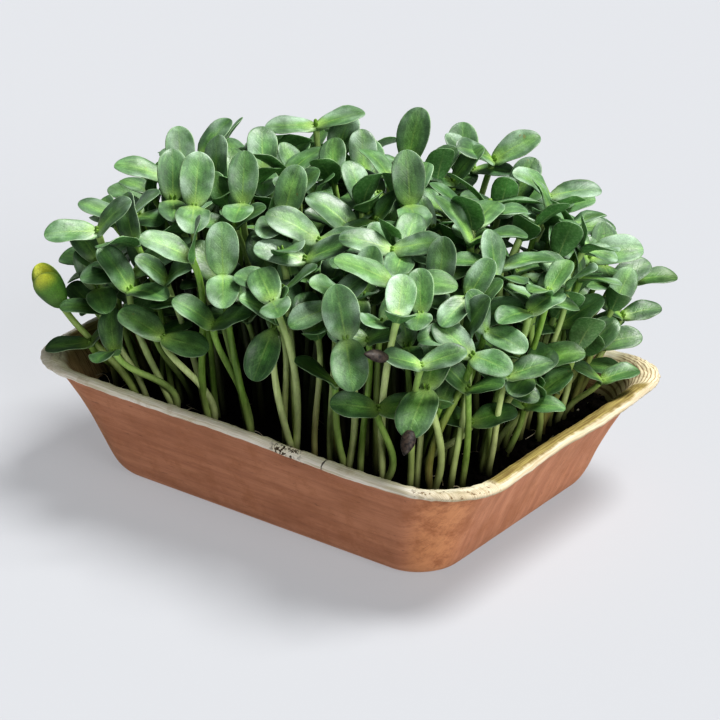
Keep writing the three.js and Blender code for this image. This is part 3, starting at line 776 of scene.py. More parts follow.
def smooth_section(knots):
    """A smooth curve through the section's points."""
    knots = np.array(knots, float)
    padded = np.concatenate([knots[:1], knots, knots[-1:]])
    curve = []
    for i in range(len(knots) - 1):
        before, start, end, after = padded[i : i + 4]
        for t in np.arange(SECTION_STEPS) / SECTION_STEPS:
            curve.append(
                0.5
                * (
                    2 * start
                    + (end - before) * t
                    + (2 * before - 5 * start + 4 * end - after) * t**2
                    + (3 * start - before - 3 * end + after) * t**3
                )
            )
    curve.append(knots[-1])
    return np.array(curve)


def make_tray(material):
    section = smooth_section([*OUTSIDE, *NOSE, *INSIDE])
    run = np.concatenate([[0], np.cumsum(np.linalg.norm(np.diff(section, axis=0), axis=1))])
    nose = int(np.argmax(section[:, 0]))
    base, normals = tray_outline(0)
    steps = np.linalg.norm(np.roll(base, -1, axis=0) - base, axis=1)
    around = np.concatenate([[0], np.cumsum(steps)[:-1]])
    bend = 2 * np.abs(normals[:, 0] * normals[:, 1])
    # The rim is frayed at the corner towards +X and +Y.
    frayed = bend * ((normals[:, 0] > 0) & (normals[:, 1] > 0))
    shape = Shape()
    rings, grain, zone, edge_line = [], [], [], []
    for (outward, height), length in zip(section, run):
        outline, _ = tray_outline(outward)
        count = len(outline)
        level = np.full(count, height)
        place = np.column_stack([outline, height + rim_wave(outline, outward)])
        inner = length > run[nose]
        unrolled = 2 * run[nose] - length if inner else length
        flat = base + normals * (unrolled - run[2 * SECTION_STEPS])
        edge = max(0.0, (outward - 18) / 12)
        # Pleats run along the fibres of the leaf where it is pressed round the corners.
        pleat = np.sin(flat[:, 1] * PLEAT_RATE + 1.6 * ripple(np.column_stack([flat, level * 0]), 8, 7))
        place[:, 2] += PLEAT_DEPTH * pleat * (0.4 * bend + 0.6 * frayed) * edge
        place[:, 2] += 0.3 * ripple(np.column_stack([outline, level * 0]), 5, 1) * edge
        fray = ripple(np.column_stack([outline, level * 0.3]), 2.6, 2)
        push = (0.25 + FRAY_DEPTH * frayed) * fray * edge**3
        push += 0.22 * ripple(np.column_stack([outline * [0.25, 1.0], level]), 9, 3) * min(1.0, height / 6)
        if inner:
            ragged = math.exp(-(((outward - 22.5) / 2) ** 2))
            torn = ripple(np.column_stack([outline, level * 0.5]), 2.4, 8)
            place[:, 2] += 0.55 * ragged * torn
            push += 0.6 * ragged * ripple(np.column_stack([outline, level * 0.5]), 3.7, 9)
        place[:, :2] += normals * push[:, None]
        rings.append(place)
        grain.append(np.column_stack([flat, pleat]))
        zone.append(np.column_stack([level * 0 + inner, level * 0 + outward, level]))
        edge_line.append(np.column_stack([around, level * 0 + unrolled, bend]))
    shape.add(
        np.concatenate(rings),
        ring_faces(len(rings), len(base)),
        grain=np.concatenate(grain) * [MM, MM, 1],
        zone=np.concatenate(zone),
        edge_line=np.concatenate(edge_line) * [MM, MM, 1],
    )
    return shape.build("palm_leaf_tray", [material], "palm_leaf", ["tray"])


# Soil.
def soil_height(x, y):
    """The soil's top surface, slightly mounded and lumpy."""
    lumps = np.sin(x * 0.21 + 0.6) * np.cos(y * 0.27) + 0.6 * np.sin(x * 0.43 - y * 0.37)
    return SOIL_TOP + SOIL_LUMP * lumps


def make_soil(material):
    rings = []
    for outward, height in reversed([row for row in INSIDE if row[1] < SOIL_TOP - 2]):
        outline, _ = tray_outline(outward - SOIL_GAP)
        rings.append(np.column_stack([outline, np.full(len(outline), height + SOIL_GAP)]))
    edge, _ = tray_outline(inside_at(SOIL_TOP - 1) - SOIL_GAP)
    for step in range(SOIL_RINGS):
        share = 1 - step / SOIL_RINGS
        outline = edge * share
        level = soil_height(outline[:, 0], outline[:, 1])
        blend = min(1, step / 4)
        height = (SOIL_TOP - 1) * (1 - blend) + level * blend
        flat = np.column_stack([outline, np.zeros(len(outline))])
        height = height + 0.9 * ripple(flat, 3.4, 4) + 0.5 * ripple(flat, 1.7, 5)
        rings.append(np.column_stack([outline, height]))
    shape = Shape()
    shape.add(np.concatenate(rings), ring_faces(len(rings), len(rings[0])))
    return shape.build("soil_bed", [material], "soil", ["soil"])


def ball(steps_up, sides):
    """A unit ball as rings of points and faces."""
    points = []
    for i in range(steps_up + 1):
        tilt = math.pi * (0.04 + 0.92 * i / steps_up)
        for k in range(sides):
            turn = 2 * math.pi * (k + 0.5 * (i % 2)) / sides
            points.append((math.sin(tilt) * math.cos(turn), math.sin(tilt) * math.sin(turn), -math.cos(tilt)))
    return np.array(points), ring_faces(steps_up + 1, sides)


def soil_spot(random, share=1.0):
    """A random point of the soil's top."""
    edge = inside_at(SOIL_TOP) - 3
    x = (BASE_HALF_X + edge) * share * (random() * 2 - 1)
    y = (BASE_HALF_Y + edge * FLARE_Y_SHARE) * share * (random() * 2 - 1)
    over_x = abs(x) - (BASE_HALF_X + edge - SOIL_CORNER)
    over_y = abs(y) - (BASE_HALF_Y + edge * FLARE_Y_SHARE - SOIL_CORNER)
    if over_x > 0 and over_y > 0 and math.hypot(over_x, over_y) > SOIL_CORNER:
        return soil_spot(random, share)
    return x, y, float(soil_height(np.array(x), np.array(y)))


def spin(random):
    """A random rotation as a 3 by 3 matrix."""
    axis = Vector((random() - 0.5, random() - 0.5, random() - 0.5)).normalized()
    return np.array(Matrix.Rotation(random() * 2 * math.pi, 3, axis))


def make_crumbs(material, bits_material):
    """Loose crumbs of compost, and a few pale bits among them."""
    random = random_stream(CRUMB_SEED)
    crumbs, bits = Shape(), Shape()
    points, faces = ball(5, 7)
    for number in range(CRUMB_COUNT):
        x, y, z = soil_spot(random)
        size = 0.5 + 1.5 * random() ** 2.2
        stretch = np.array([1, 0.6 + 0.4 * random(), 0.5 + 0.4 * random()]) * size
        rough = 1 + 0.35 * ripple(points * 2 + number, 1.1, 6)
        body = (points * rough[:, None] * stretch) @ spin(random).T
        target = bits if number % CRUMBS_PER_BIT == 0 else crumbs
        scale = 0.55 if target is bits else 1
        target.add(body * scale + (x, y, z + size * 0.35), faces)
    crumbs.build("soil_crumbs", [material], "soil")
    bits.build("pale_bits", [bits_material], "soil")


def make_root_hairs(material, planted):
    """Fine pale roots that show at the foot of the stems and on the soil."""
    random = random_stream(ROOT_HAIR_SEED)
    shape = Shape()
    for number in range(ROOT_HAIR_COUNT):
        if number % 3 == 0:
            x, y, z = soil_spot(random, 0.97)
        else:
            root = planted[int(random() * len(planted))]["root"]
            x = root[0] + 5 * (random() - 0.5)
            y = root[1] + 5 * (random() - 0.5)
            z = float(soil_height(np.array(x), np.array(y)))
        turn = random() * 2 * math.pi
        curl = 1.6 * (random() - 0.5)
        length = 4 + 7 * random()
        path = []
        for share in np.linspace(0, 1, ROOT_HAIR_POINTS):
            path.append((x, y, z + 0.5 + 1.3 * math.sin(math.pi * share)))
            x += math.cos(turn) * length / (ROOT_HAIR_POINTS - 1)
            y += math.sin(turn) * length / (ROOT_HAIR_POINTS - 1)
            turn += curl * 0.5 + 0.5 * (random() - 0.5)
        radii = 0.16 + 0.16 * random() * np.sin(np.linspace(0.4, 2.9, ROOT_HAIR_POINTS))
        shape.add(tube(path, radii, 6), ring_faces(ROOT_HAIR_POINTS, 6))
    return shape.build("root_hairs", [material], "shoots")


def make_husks(material, planted):
    """Dark seed husks that still cling to the tips of a few leaves."""
    shape = Shape()
    turns = circle(HUSK_SIDES)
    choices = [(shoot, side) for shoot in planted for side in (0, 1) if not shoot["closed"]]
    ends = np.array([leaf_points(shoot, side, [1.0])[0][0] for shoot, side in choices])
    end_across, end_up, end_toward = seen_from_front(ends)
    for across_place, up_place in HUSK_PLACES:
        apart = np.hypot(end_across - across_place, end_up - up_place)
        shoot, side = choices[int(np.argmin(apart - HUSK_NEARNESS * end_toward))]
        (inner, tip), _ = leaf_points(shoot, side, [0.88, 1.0])
        along = unit(tip - inner)
        across = leaf_frame(shoot, side)[1]
        normal = unit(np.cross(along, across))
        points = []
        for share in np.linspace(0, 1, HUSK_RINGS):
            half = HUSK_SIZE[1] / 2 * math.sin(math.pi * (0.1 + 0.88 * share)) ** 0.7 * (1.1 - 0.3 * share)
            ridged = 1 + 0.05 * np.cos(5 * turns)
            sideways = (half * ridged * np.cos(turns))[:, None] * across
            outward = (0.6 * half * ridged * np.sin(turns))[:, None] * normal
            points.append(inner + HUSK_SIZE[0] * share * along + sideways + outward)
        shape.add(np.concatenate(points), ring_faces(HUSK_RINGS, HUSK_SIDES))
    return shape.build("seed_husks", [material], "shoots")


# Shoots.
def blade_width(share):
    """The blade's half width, as a share of the widest."""
    offset = np.asarray(share, float) - BLADE_WIDEST
    reach = np.where(offset < 0, BLADE_WIDEST + 0.02, 1.004 - BLADE_WIDEST)
    return np.clip(1 - np.abs(offset / reach) ** 2.15, 0, 1) ** 0.52


def add_leaf(shape, shoot, side, random):
    """One seed leaf: a thick cupped blade with a grooved midrib above and a ridge below."""
    rings = LEAF_RINGS[shoot["filler"]]
    sides = LEAF_SIDES[shoot["filler"]]
    u = np.linspace(0, 1, rings + 1)
    share = -0.05 + 1.05 * (u - 0.8 * np.sin(2 * math.pi * u) / (2 * math.pi))
    place, normal = leaf_points(shoot, side, np.maximum(share, 0))
    outward, across = leaf_frame(shoot, side)
    start = leaf_angle(shoot, side, 0)
    before = np.cos(start) * outward + np.sin(start) * shoot["axis"]
    place = place + np.minimum(share, 0)[:, None] * shoot["length"] * before
    inside = np.clip(share, 0, 1)
    full = blade_width(inside)
    width = np.maximum(shoot["width"] / 2 * BLADE_FULLNESS * full, 1.25 * (1 - inside) ** 0.3)
    width[-1] = 0.6
    thick = 0.42 + 0.75 * np.exp(-((inside / 0.16) ** 2))
    thick *= np.clip((1.02 - inside) / 0.12, 0.35, 1)
    angles = circle(sides)
    t = np.cos(angles)
    top = np.sin(angles)
    grown = np.clip(inside * 5, 0, 1)
    cup = (0.5 + 0.9 * random()) * full**2 * grown
    fold = 1.3 * max(0, random() - 0.35) * full * grown
    twist = math.radians(14 * (random() - 0.5)) * (inside - 0.2)
    wave_phase = random() * 2 * math.pi
    wave = 0.25 + 0.45 * random()
    points, blade = [], []
    for i in range(len(share)):
        rib = math.exp(-(((inside[i] - 0.1) / 0.5) ** 2))
        lens = thick[i] * np.sign(top) * np.abs(top) ** 0.75
        groove = np.exp(-((t / 0.16) ** 2)) * grown[i]
        lens = lens - groove * np.where(top > 0, 0.2, 0.34 * rib)
        ruffle = wave * np.sin(inside[i] * 9 + wave_phase + 1.5 * t) * t * t * full[i] ** 2
        rise = lens + cup[i] * t * t + fold[i] * np.abs(t) + ruffle
        turned = math.cos(twist[i]) * across + math.sin(twist[i]) * normal[i]
        upward = math.cos(twist[i]) * normal[i] - math.sin(twist[i]) * across
        points.append(place[i] + (width[i] * t)[:, None] * turned + rise[:, None] * upward)
        blade.append(np.column_stack([t, np.full(sides, inside[i]), top]))
    tone = [random(), shoot["youth"], random()]
    faces = ring_faces(len(share), sides)
    shape.add(np.concatenate(points), faces, 0, blade=np.concatenate(blade), tone=tone)


def add_stem(shape, shoot, random):
    """The stem: pale and a little thicker at its foot, with a slight swelling under the leaves."""
    rings = STEM_RINGS[shoot["filler"]]
    sides = STEM_SIDES[shoot["filler"]]
    share = np.linspace(0, 1, rings + 1)
    foot = np.array([[shoot["root"][0], shoot["root"][1], ROOT_BOTTOM]])
    path = np.concatenate([foot, stem_points(shoot, share), [shoot["apex"] + 0.7 * shoot["axis"]]])
    along = np.concatenate([[0], share, [1]])
    slim = 0.9 if shoot["filler"] else 1
    radii = STEM_RADIUS * slim * (1.04 - 0.16 * along + 0.16 * np.exp(-(((along - 1) / 0.06) ** 2)))
    radii = radii * (1 + 0.03 * np.sin(along * 21 + random() * 6))
    radii[-1] *= 0.55
    angles = np.tile(circle(sides), len(path))
    blade = np.column_stack([np.cos(angles), np.repeat(along, sides), np.sin(angles)])
    blush = max(0, random() * 1.5 - 0.95)
    tone = [random(), shoot["youth"], blush]
    shape.add(tube(path, radii, sides), ring_faces(len(path), sides), 1, blade=blade, tone=tone)


def add_bud(shape, shoot, random):
    """The tiny first true leaves between the pair."""
    across = leaf_frame(shoot, 0)[1]
    height = 1.6 + 1.8 * random()
    points, faces = ball(5, 8)
    for sign in (-1, 1):
        size = np.array([0.95, 0.5, height / 2])
        local = points * size
        lean = unit(shoot["axis"] + 0.16 * sign * across)
        wide = shoot["facing"]
        deep = np.cross(lean, wide)
        body = local[:, :1] * wide + local[:, 1:2] * deep + local[:, 2:] * lean
        centre = shoot["apex"] + lean * height * 0.62 + across * sign * 0.45
        shape.add(body + centre, faces, 0, blade=(0.4, 0.6, 0.8), tone=(0.5, 0.75, 0.5))


def make_shoots(name, shoots, materials, replaced=()):
    shape = Shape()
    for shoot in shoots:
        random = random_stream(int(abs(shoot["apex"][0]) * 1000) + int(abs(shoot["apex"][1]) * 7000))
        add_stem(shape, shoot, random)
        for side in (0, 1):
            add_leaf(shape, shoot, side, random)
        if not shoot["closed"]:
            add_bud(shape, shoot, random)
    return shape.build(name, materials, "shoots", replaced)


# Materials.
def linear(value):
    """An sRGB colour written as a hexadecimal number, as linear values."""
    parts = [((value >> shift) & 255) / 255 for shift in (16, 8, 0)]
    return [part / 12.92 if part <= 0.04045 else ((part + 0.055) / 1.055) ** 2.4 for part in parts] + [1]


class Look:
    """A procedural material built from a few kinds of node."""

    def __init__(self, name):
        self.material = bpy.data.materials.new(name)
        self.material.use_nodes = True
        self.tree = self.material.node_tree
        self.shader = self.tree.nodes["Principled BSDF"]

    def link(self, socket, value):
        if isinstance(value, bpy.types.NodeSocket):
            self.tree.links.new(value, socket)
        else:
            socket.default_value = value

    def node(self, kind, inputs=(), output=0, **settings):
        made = self.tree.nodes.new(kind)
        for key, value in settings.items():
            setattr(made, key, value)
        for key, value in dict(inputs).items():
            self.link(made.inputs[key], value)
        return made.outputs[output]

    def attribute(self, name):
        return self.node("ShaderNodeAttribute", attribute_name=name, output="Vector")

    def parts(self, vector):
        made = self.tree.nodes.new("ShaderNodeSeparateXYZ")
        self.tree.links.new(vector, made.inputs[0])
        return made.outputs[0], made.outputs[1], made.outputs[2]

    def vector(self, x, y, z):
        return self.node("ShaderNodeCombineXYZ", {0: x, 1: y, 2: z})

    def math(self, operation, first, second=0.0, third=0.0):
        return self.node("ShaderNodeMath", {0: first, 1: second, 2: third}, operation=operation)

    def times(self, first, second):
        return self.math("MULTIPLY", first, second)

    def plus(self, first, second):
        return self.math("ADD", first, second)

    def minus(self, first, second):
        return self.math("SUBTRACT", first, second)

    def scale(self, vector, factors):
        return self.node("ShaderNodeVectorMath", {0: vector, 1: factors}, operation="MULTIPLY")

    def ramp(self, value, low, high, to_low=0.0, to_high=1.0):
        """Smoothly from to_low at low to to_high at high."""
        inputs = {0: value, 1: low, 2: high, 3: to_low, 4: to_high}
        return self.node("ShaderNodeMapRange", inputs, interpolation_type="SMOOTHSTEP")

    def noise(self, vector, scale, detail=3.0, roughness=0.55):
        inputs = {"Vector": vector, "Scale": scale, "Detail": detail, "Roughness": roughness}
        return self.node("ShaderNodeTexNoise", inputs)

    def cells(self, vector, scale):
        return self.node("ShaderNodeTexVoronoi", {"Vector": vector, "Scale": scale})

    def mix(self, share, first, second, blend="MIX"):
        """Two colours mixed. Each is a socket, a hexadecimal colour, a grey level or four values."""
        made = self.tree.nodes.new("ShaderNodeMix")
        made.data_type = "RGBA"
        made.blend_type = blend
        self.link(made.inputs[0], share)
        for index, value in ((6, first), (7, second)):
            if isinstance(value, int):
                value = linear(value)
            elif isinstance(value, float):
                value = (value, value, value, 1)
            self.link(made.inputs[index], value)
        return made.outputs[2]

    def tint(self, colour, shade):
        """The colour multiplied by a shade."""
        return self.mix(1.0, colour, shade, "MULTIPLY")

    def object_space(self):
        return self.node("ShaderNodeTexCoord", output="Object")

    def deep_shade(self, place, deepest, low, high):
        """Grey that falls to deepest low in the middle of the stand, and is white at its edges and top."""
        x, y, z = self.parts(place)
        out_x = self.math("DIVIDE", self.math("ABSOLUTE", x), PLANTED_HALF_X * MM)
        out_y = self.math("DIVIDE", self.math("ABSOLUTE", y), PLANTED_HALF_Y * MM)
        edge = self.math("MAXIMUM", out_x, out_y)
        deep = self.math("MULTIPLY", self.ramp(edge, 0.78, 1.03, 1, 0), self.ramp(z, low, high, 1, 0))
        return self.mix(deep, 1.0, deepest)

    def bump(self, height, strength, distance, under=None):
        inputs = {"Height": height, "Strength": strength, "Distance": distance * MM}
        if under is not None:
            inputs["Normal"] = under
        return self.node("ShaderNodeBump", inputs)

    def finish(self, colour, roughness, normal, **levels):
        self.link(self.shader.inputs["Base Color"], colour)
        self.link(self.shader.inputs["Roughness"], roughness)
        self.link(self.shader.inputs["Normal"], normal)
        for key, value in levels.items():
            self.shader.inputs[key.replace("_", " ")].default_value = value
        return self.material


def leaf_look():
    look = Look("seed_leaf")
    across, along, face = look.parts(look.attribute("blade"))
    tone, youth, chance = look.parts(look.attribute("tone"))
    place = look.object_space()
    patches = look.noise(place, 110, 4)
    fine = look.noise(place, 900, 3)
    width = look.math("ABSOLUTE", across)
    # High leaves get a pale bloom that is partly a painted sheen, as the top of the stand catches the light,
    # and low ones are painted darker and a little yellower as painted shade.
    _, _, level = look.parts(place)
    high = look.ramp(level, 0.072, 0.108)
    # Painted light and shade: deep green at the margin and brighter along the middle, as the cupped blade is
    # lit, and brighter towards the stalk.
    margin = look.mix(tone, 0x2C5428, 0x5C8850)
    middle = look.mix(chance, 0x548A3A, 0x8AB85A)
    painted_light_core = look.times(look.ramp(width, 0.1, 0.85, 1, 0), look.ramp(along, 0.35, 1.05, 1, 0.25))
    painted_light_core = look.times(painted_light_core, look.ramp(patches, 0.25, 0.75, 0.35, 1))
    green = look.mix(painted_light_core, margin, middle)
    # Soft streaks run from the stalk to the tip.
    lengthwise = look.vector(look.times(across, 1.7), look.times(along, 1.3), look.times(chance, 30))
    streaks = look.noise(lengthwise, 2.2, 4, 0.6)
    green = look.mix(look.ramp(streaks, 0.5, 0.72, 0, 0.4), green, 0x92BE74)
    green = look.mix(look.ramp(streaks, 0.5, 0.3, 0, 0.5), green, 0x224A26)
    stalk = look.times(look.ramp(along, 0.02, 0.34, 1, 0), look.ramp(width, 0.2, 1.0, 0.85, 0.4))
    green = look.mix(stalk, green, 0xA8C868)
    # Pale bloom mixed with a painted sheen, strongest on high leaves.
    waxy_and_sheen_patches = look.ramp(look.noise(place, 75, 2), 0.48, 0.68, 0.22, 1)
    bloom_and_painted_sheen = look.times(waxy_and_sheen_patches, look.ramp(width, 0.1, 0.8, 0.35, 0.75))
    bloom_and_painted_sheen = look.times(bloom_and_painted_sheen, look.ramp(high, 0, 1, 0.25, 1))
    green = look.mix(bloom_and_painted_sheen, green, 0xB2CAB4)
    # Midrib, side veins, and a painted highlight along the pale edge.
    midrib = look.times(look.ramp(width, 0.015, 0.09, 1, 0), look.ramp(along, 0.1, 0.85, 0.8, 0.15))
    slant = look.minus(look.times(along, 40), look.times(width, 13))
    veins = look.times(look.ramp(look.math("SINE", slant), 0.8, 1.0), look.ramp(width, 0.1, 0.9, 0.3, 0.0))
    # Painted highlight: a pale line along the blade's edge.
    edge = look.ramp(width, 0.93, 0.99, 0, 0.62)
    green = look.mix(look.times(veins, 0.4), green, 0x7BA35C)
    green = look.mix(midrib, green, 0x9ABC6C)
    green = look.mix(edge, green, 0xBCD2AA)
    under = look.mix(look.ramp(fine, 0.4, 0.7), 0x66965A, 0x84AE76)
    under = look.mix(midrib, under, 0xA8C583)
    colour = look.mix(look.ramp(face, -0.35, 0.0, 1, 0), green, under)
    tip = look.times(look.ramp(along, 0.5, 0.9), look.ramp(youth, 0.25, 0.8, 0.15, 1))
    young = look.mix(tip, 0x6A9A3A, 0xD4DA50)
    young = look.mix(look.ramp(width, 0.55, 0.95, 0, 0.7), young, 0x3C6A2C)
    colour = look.mix(look.ramp(youth, 0, 0.9, 0, 0.9), colour, young)
    speck = look.times(look.ramp(look.noise(place, 380, 2), 0.7, 0.76), look.ramp(chance, 0.7, 1.0, 0, 0.5))
    colour = look.mix(speck, colour, 0x8A7A3E)
    shade = look.mix(look.ramp(patches, 0.2, 0.8), 0.66, 1.2)
    colour = look.tint(colour, shade)
    # Painted shade: low leaves are darkened.
    colour = look.tint(colour, look.mix(high, (0.88, 0.85, 0.86, 1), 1.0))
    colour = look.tint(colour, look.deep_shade(place, 0.36, 0.08, 0.113))
    grains = look.ramp(look.noise(place, 2200, 2), 0.3, 0.7)
    colour = look.tint(colour, look.mix(grains, 0.84, 1.14))
    height = look.plus(look.times(look.noise(place, 1500, 2), 0.35), look.times(veins, -0.8))
    height = look.plus(height, look.times(look.noise(place, 260, 3), 1.3))
    normal = look.bump(height, 0.45, 0.3)
    roughness = look.ramp(patches, 0.3, 0.7, 0.38, 0.56)
    return look.finish(colour, roughness, normal, Specular_IOR_Level=0.75)


def stem_look():
    look = Look("stem_skin")
    _, along, _ = look.parts(look.attribute("blade"))
    tone, youth, blush = look.parts(look.attribute("tone"))
    place = look.object_space()
    streaks = look.noise(look.scale(place, (1, 1, 0.08)), 1400, 3)
    patches = look.noise(place, 120, 3)
    green = look.mix(look.ramp(tone, 0.15, 0.85), 0x7FA54A, 0xE4F0B6)
    green = look.mix(look.ramp(along, 0.55, 1.0, 0, 0.6), green, 0x76A048)
    green = look.mix(look.ramp(along, 0.0, 0.3, 0.65, 0), green, 0xBDC68C)
    green = look.mix(look.times(blush, look.ramp(along, 0.1, 0.8, 0.9, 0.1)), green, 0x94563A)
    green = look.mix(look.ramp(streaks, 0.35, 0.7, 0, 0.4), green, 0xBCCF84)
    colour = look.mix(look.times(youth, 0.5), green, 0xA9C65A)
    _, _, height = look.parts(place)
    # Painted shade: the stems darken towards the soil.
    colour = look.mix(look.ramp(height, 0.034, 0.042, 0.75, 0), colour, 0x4A4528)
    shade = look.mix(look.ramp(patches, 0.2, 0.8), 0.84, 1.22)
    colour = look.tint(colour, shade)
    colour = look.tint(colour, look.deep_shade(place, 0.24, 0.07, 0.105))
    normal = look.bump(streaks, 0.3, 0.15)
    roughness = look.ramp(patches, 0.3, 0.7, 0.36, 0.52)
    return look.finish(colour, roughness, normal, Specular_IOR_Level=0.5)


def tray_look():
    look = Look("pressed_palm_leaf")
    grain = look.attribute("grain")
    edge_line = look.attribute("edge_line")
    _, _, bend = look.parts(edge_line)
    side, outward, height = look.parts(look.attribute("zone"))
    place = look.object_space()
    x, y, _ = look.parts(place)
    # Fibres run along the leaf, so noise is drawn out along the first grain axis.
    fibres = look.noise(look.scale(grain, (0.06, 1, 0)), 1500, 4, 0.65)
    coarse = look.noise(look.scale(grain, (0.05, 1, 0)), 260, 3, 0.6)
    blotches = look.noise(look.scale(grain, (0.5, 1, 0)), 60, 5, 0.6)
    spots = look.noise(look.scale(grain, (0.3, 1, 0)), 520, 3, 0.6)
    # On the rim's straight sides the fibres that show run along the edge.
    rim_fibres = look.noise(look.scale(edge_line, (0.05, 1, 0)), 1300, 4, 0.65)
    rim_share = look.ramp(bend, 0.05, 0.5)
    rim_lines = look.mix(rim_share, rim_fibres, fibres)
    # Outside wall: reddish brown with darker streaks.
    mottle = look.noise(place, 110, 6, 0.75)
    hairs = look.noise(look.scale(grain, (0.035, 1, 0)), 3400, 3, 0.6)
    wall = look.mix(look.ramp(coarse, 0.3, 0.7), 0xBE8668, 0xD29A7A)
    wall = look.mix(look.ramp(fibres, 0.35, 0.75, 0, 0.35), wall, 0xDFAC8C)
    wall = look.mix(look.ramp(blotches, 0.42, 0.7, 0, 0.5), wall, 0xAA7656)
    wall = look.mix(look.ramp(mottle, 0.45, 0.68, 0, 0.4), wall, 0xB0774F)
    corner_tone = look.mix(look.ramp(mottle, 0.38, 0.64), 0xE2A878, 0xA87048)
    wall = look.mix(look.ramp(bend, 0.2, 1.0, 0, 0.55), wall, corner_tone)
    wall = look.mix(look.ramp(hairs, 0.6, 0.7, 0, 0.5), wall, 0x8A5A42)
    wall = look.mix(look.ramp(spots, 0.64, 0.72, 0, 0.3), wall, 0x6F432E)
    # Rim and inside: a whitish lip, then olive cream with tan fibres.
    lip = look.mix(look.ramp(rim_lines, 0.35, 0.7), 0xF6F0E4, 0xD6CCB2)
    # Painted light and shade: the lip is painted paler on the long sides, which the shoots shade, and darker
    # on the +X side, which the lamps light most.
    sunny_side = look.ramp(x, 0.084, 0.1)
    lip = look.mix(sunny_side, lip, look.mix(look.ramp(rim_lines, 0.3, 0.65), 0xDAD0BA, 0xB6A88A))
    lip = look.mix(look.ramp(mottle, 0.54, 0.68, 0, 0.35), lip, 0xBCAA86)
    olive = look.mix(look.ramp(rim_lines, 0.3, 0.65), 0xB4A66C, 0x7C6A40)
    pale = look.mix(look.ramp(rim_lines, 0.35, 0.7), 0xF4EEDC, 0xD4CAAA)
    short_side = look.ramp(look.math("ABSOLUTE", x), 0.086, 0.096)
    cream = look.mix(look.times(short_side, look.ramp(bend, 0.1, 0.6, 1, 0)), pale, olive)
    cream = look.mix(look.ramp(blotches, 0.48, 0.78, 0, 0.25), cream, 0xB8A862)
    tan = look.mix(look.ramp(coarse, 0.3, 0.7), 0xA98E66, 0x7A5E40)
    tan = look.mix(look.ramp(fibres, 0.4, 0.6, 0, 0.7), tan, 0xCDB78F)
    tan = look.mix(look.ramp(spots, 0.6, 0.68, 0, 0.7), tan, 0x5A412A)
    _, _, pleat = look.parts(grain)
    valley = look.times(look.ramp(pleat, -0.4, -0.9), look.ramp(bend, 0.15, 0.6, 0, 0.32))
    ragged = look.plus(outward, look.times(look.minus(coarse, 0.5), 4.0))
    inside = look.mix(look.ramp(ragged, 19.5, 22.5), tan, cream)
    # Thin brown arcs show on the far bends, and dark specks on the near ones.
    far_bend = look.times(look.ramp(bend, 0.1, 0.5), look.ramp(y, 0.0, 0.02))
    wander = look.times(look.noise(look.scale(edge_line, (0.25, 1, 0)), 90, 3), 14)
    arcs = look.math("SINE", look.plus(look.times(outward, 5.0), wander))
    threads = look.mix(look.ramp(arcs, 0.0, 0.9, 0, 0.75), 0xE4D8B8, 0x7E5E3C)
    inside = look.mix(look.times(far_bend, look.ramp(outward, 9, 15, 0, 0.9)), inside, threads)
    straight = look.times(sunny_side, look.ramp(bend, 0.1, 0.5, 1, 0))
    lip_line = look.minus(ragged, look.times(straight, 1.6))
    lip_line = look.minus(lip_line, look.times(far_bend, 2.6))
    inside = look.mix(look.ramp(lip_line, 25.8, 27.4), inside, lip)
    near_bend = look.times(look.ramp(bend, 0.1, 0.5), look.ramp(look.minus(x, y), 0.08, 0.12))
    specks = look.times(look.ramp(look.noise(place, 420, 4, 0.7), 0.57, 0.62), look.ramp(outward, 20, 22))
    inside = look.mix(look.times(look.times(near_bend, specks), 0.8), inside, 0x6A5032)
    inside = look.mix(look.times(valley, look.ramp(outward, 30, 24)), inside, 0x7E6040)
    # The lip takes over from the brown wall at an uneven dark line, a painted shadow under the rim's nose.
    line = look.plus(outward, look.times(look.minus(coarse, 0.5), 1.6))
    outside = look.mix(look.ramp(line, 27.9, 28.7, 0, 0.8), wall, 0x4A2E20)
    outside = look.mix(look.ramp(line, 29.0, 29.5), outside, lip)
    colour = look.mix(side, outside, inside)
    # A torn place on the long side of the rim, and a crack beside it.
    long_side = look.ramp(y, -0.064, -0.068)
    on_rim = look.ramp(outward, 21, 24)
    far = look.math("ABSOLUTE", look.minus(x, 0.029))
    torn = look.times(look.times(look.ramp(far, 0.003, 0.009, 1, 0), long_side), on_rim)
    flecks = look.noise(place, 900, 3)
    colour = look.mix(look.times(torn, look.ramp(flecks, 0.5, 0.58)), colour, 0x4A3A26)
    crack = look.plus(x, look.times(flecks, 0.0012))
    crack = look.math("ABSOLUTE", look.minus(crack, 0.0468))
    crack = look.times(look.times(look.ramp(crack, 0.0001, 0.0004, 1, 0), long_side), on_rim)
    colour = look.mix(look.times(crack, 0.85), colour, 0x33241A)
    relief = look.plus(look.times(rim_lines, 0.7), look.times(coarse, 0.5))
    relief = look.plus(relief, look.times(spots, -0.3))
    relief = look.minus(relief, look.times(crack, 2.0))
    normal = look.bump(relief, 0.6, 0.45)
    roughness = look.ramp(fibres, 0.3, 0.7, 0.55, 0.78)
    return look.finish(colour, roughness, normal, Specular_IOR_Level=0.35)


def soil_look():
    look = Look("dark_compost")
    place = look.object_space()
    grains = look.noise(place, 700, 5, 0.7)
    clods = look.cells(place, 420)
    colour = look.mix(look.ramp(grains, 0.35, 0.75), 0x0F0C0A, 0x2E241C)
    colour = look.mix(look.ramp(clods, 0.0, 0.5, 0.5, 0), colour, 0x17120E)
    height = look.plus(grains, look.times(clods, 0.8))
    normal = look.bump(height, 0.9, 1.0)
    roughness = look.ramp(grains, 0.3, 0.7, 0.8, 0.97)
    return look.finish(colour, roughness, normal, Specular_IOR_Level=0.25)


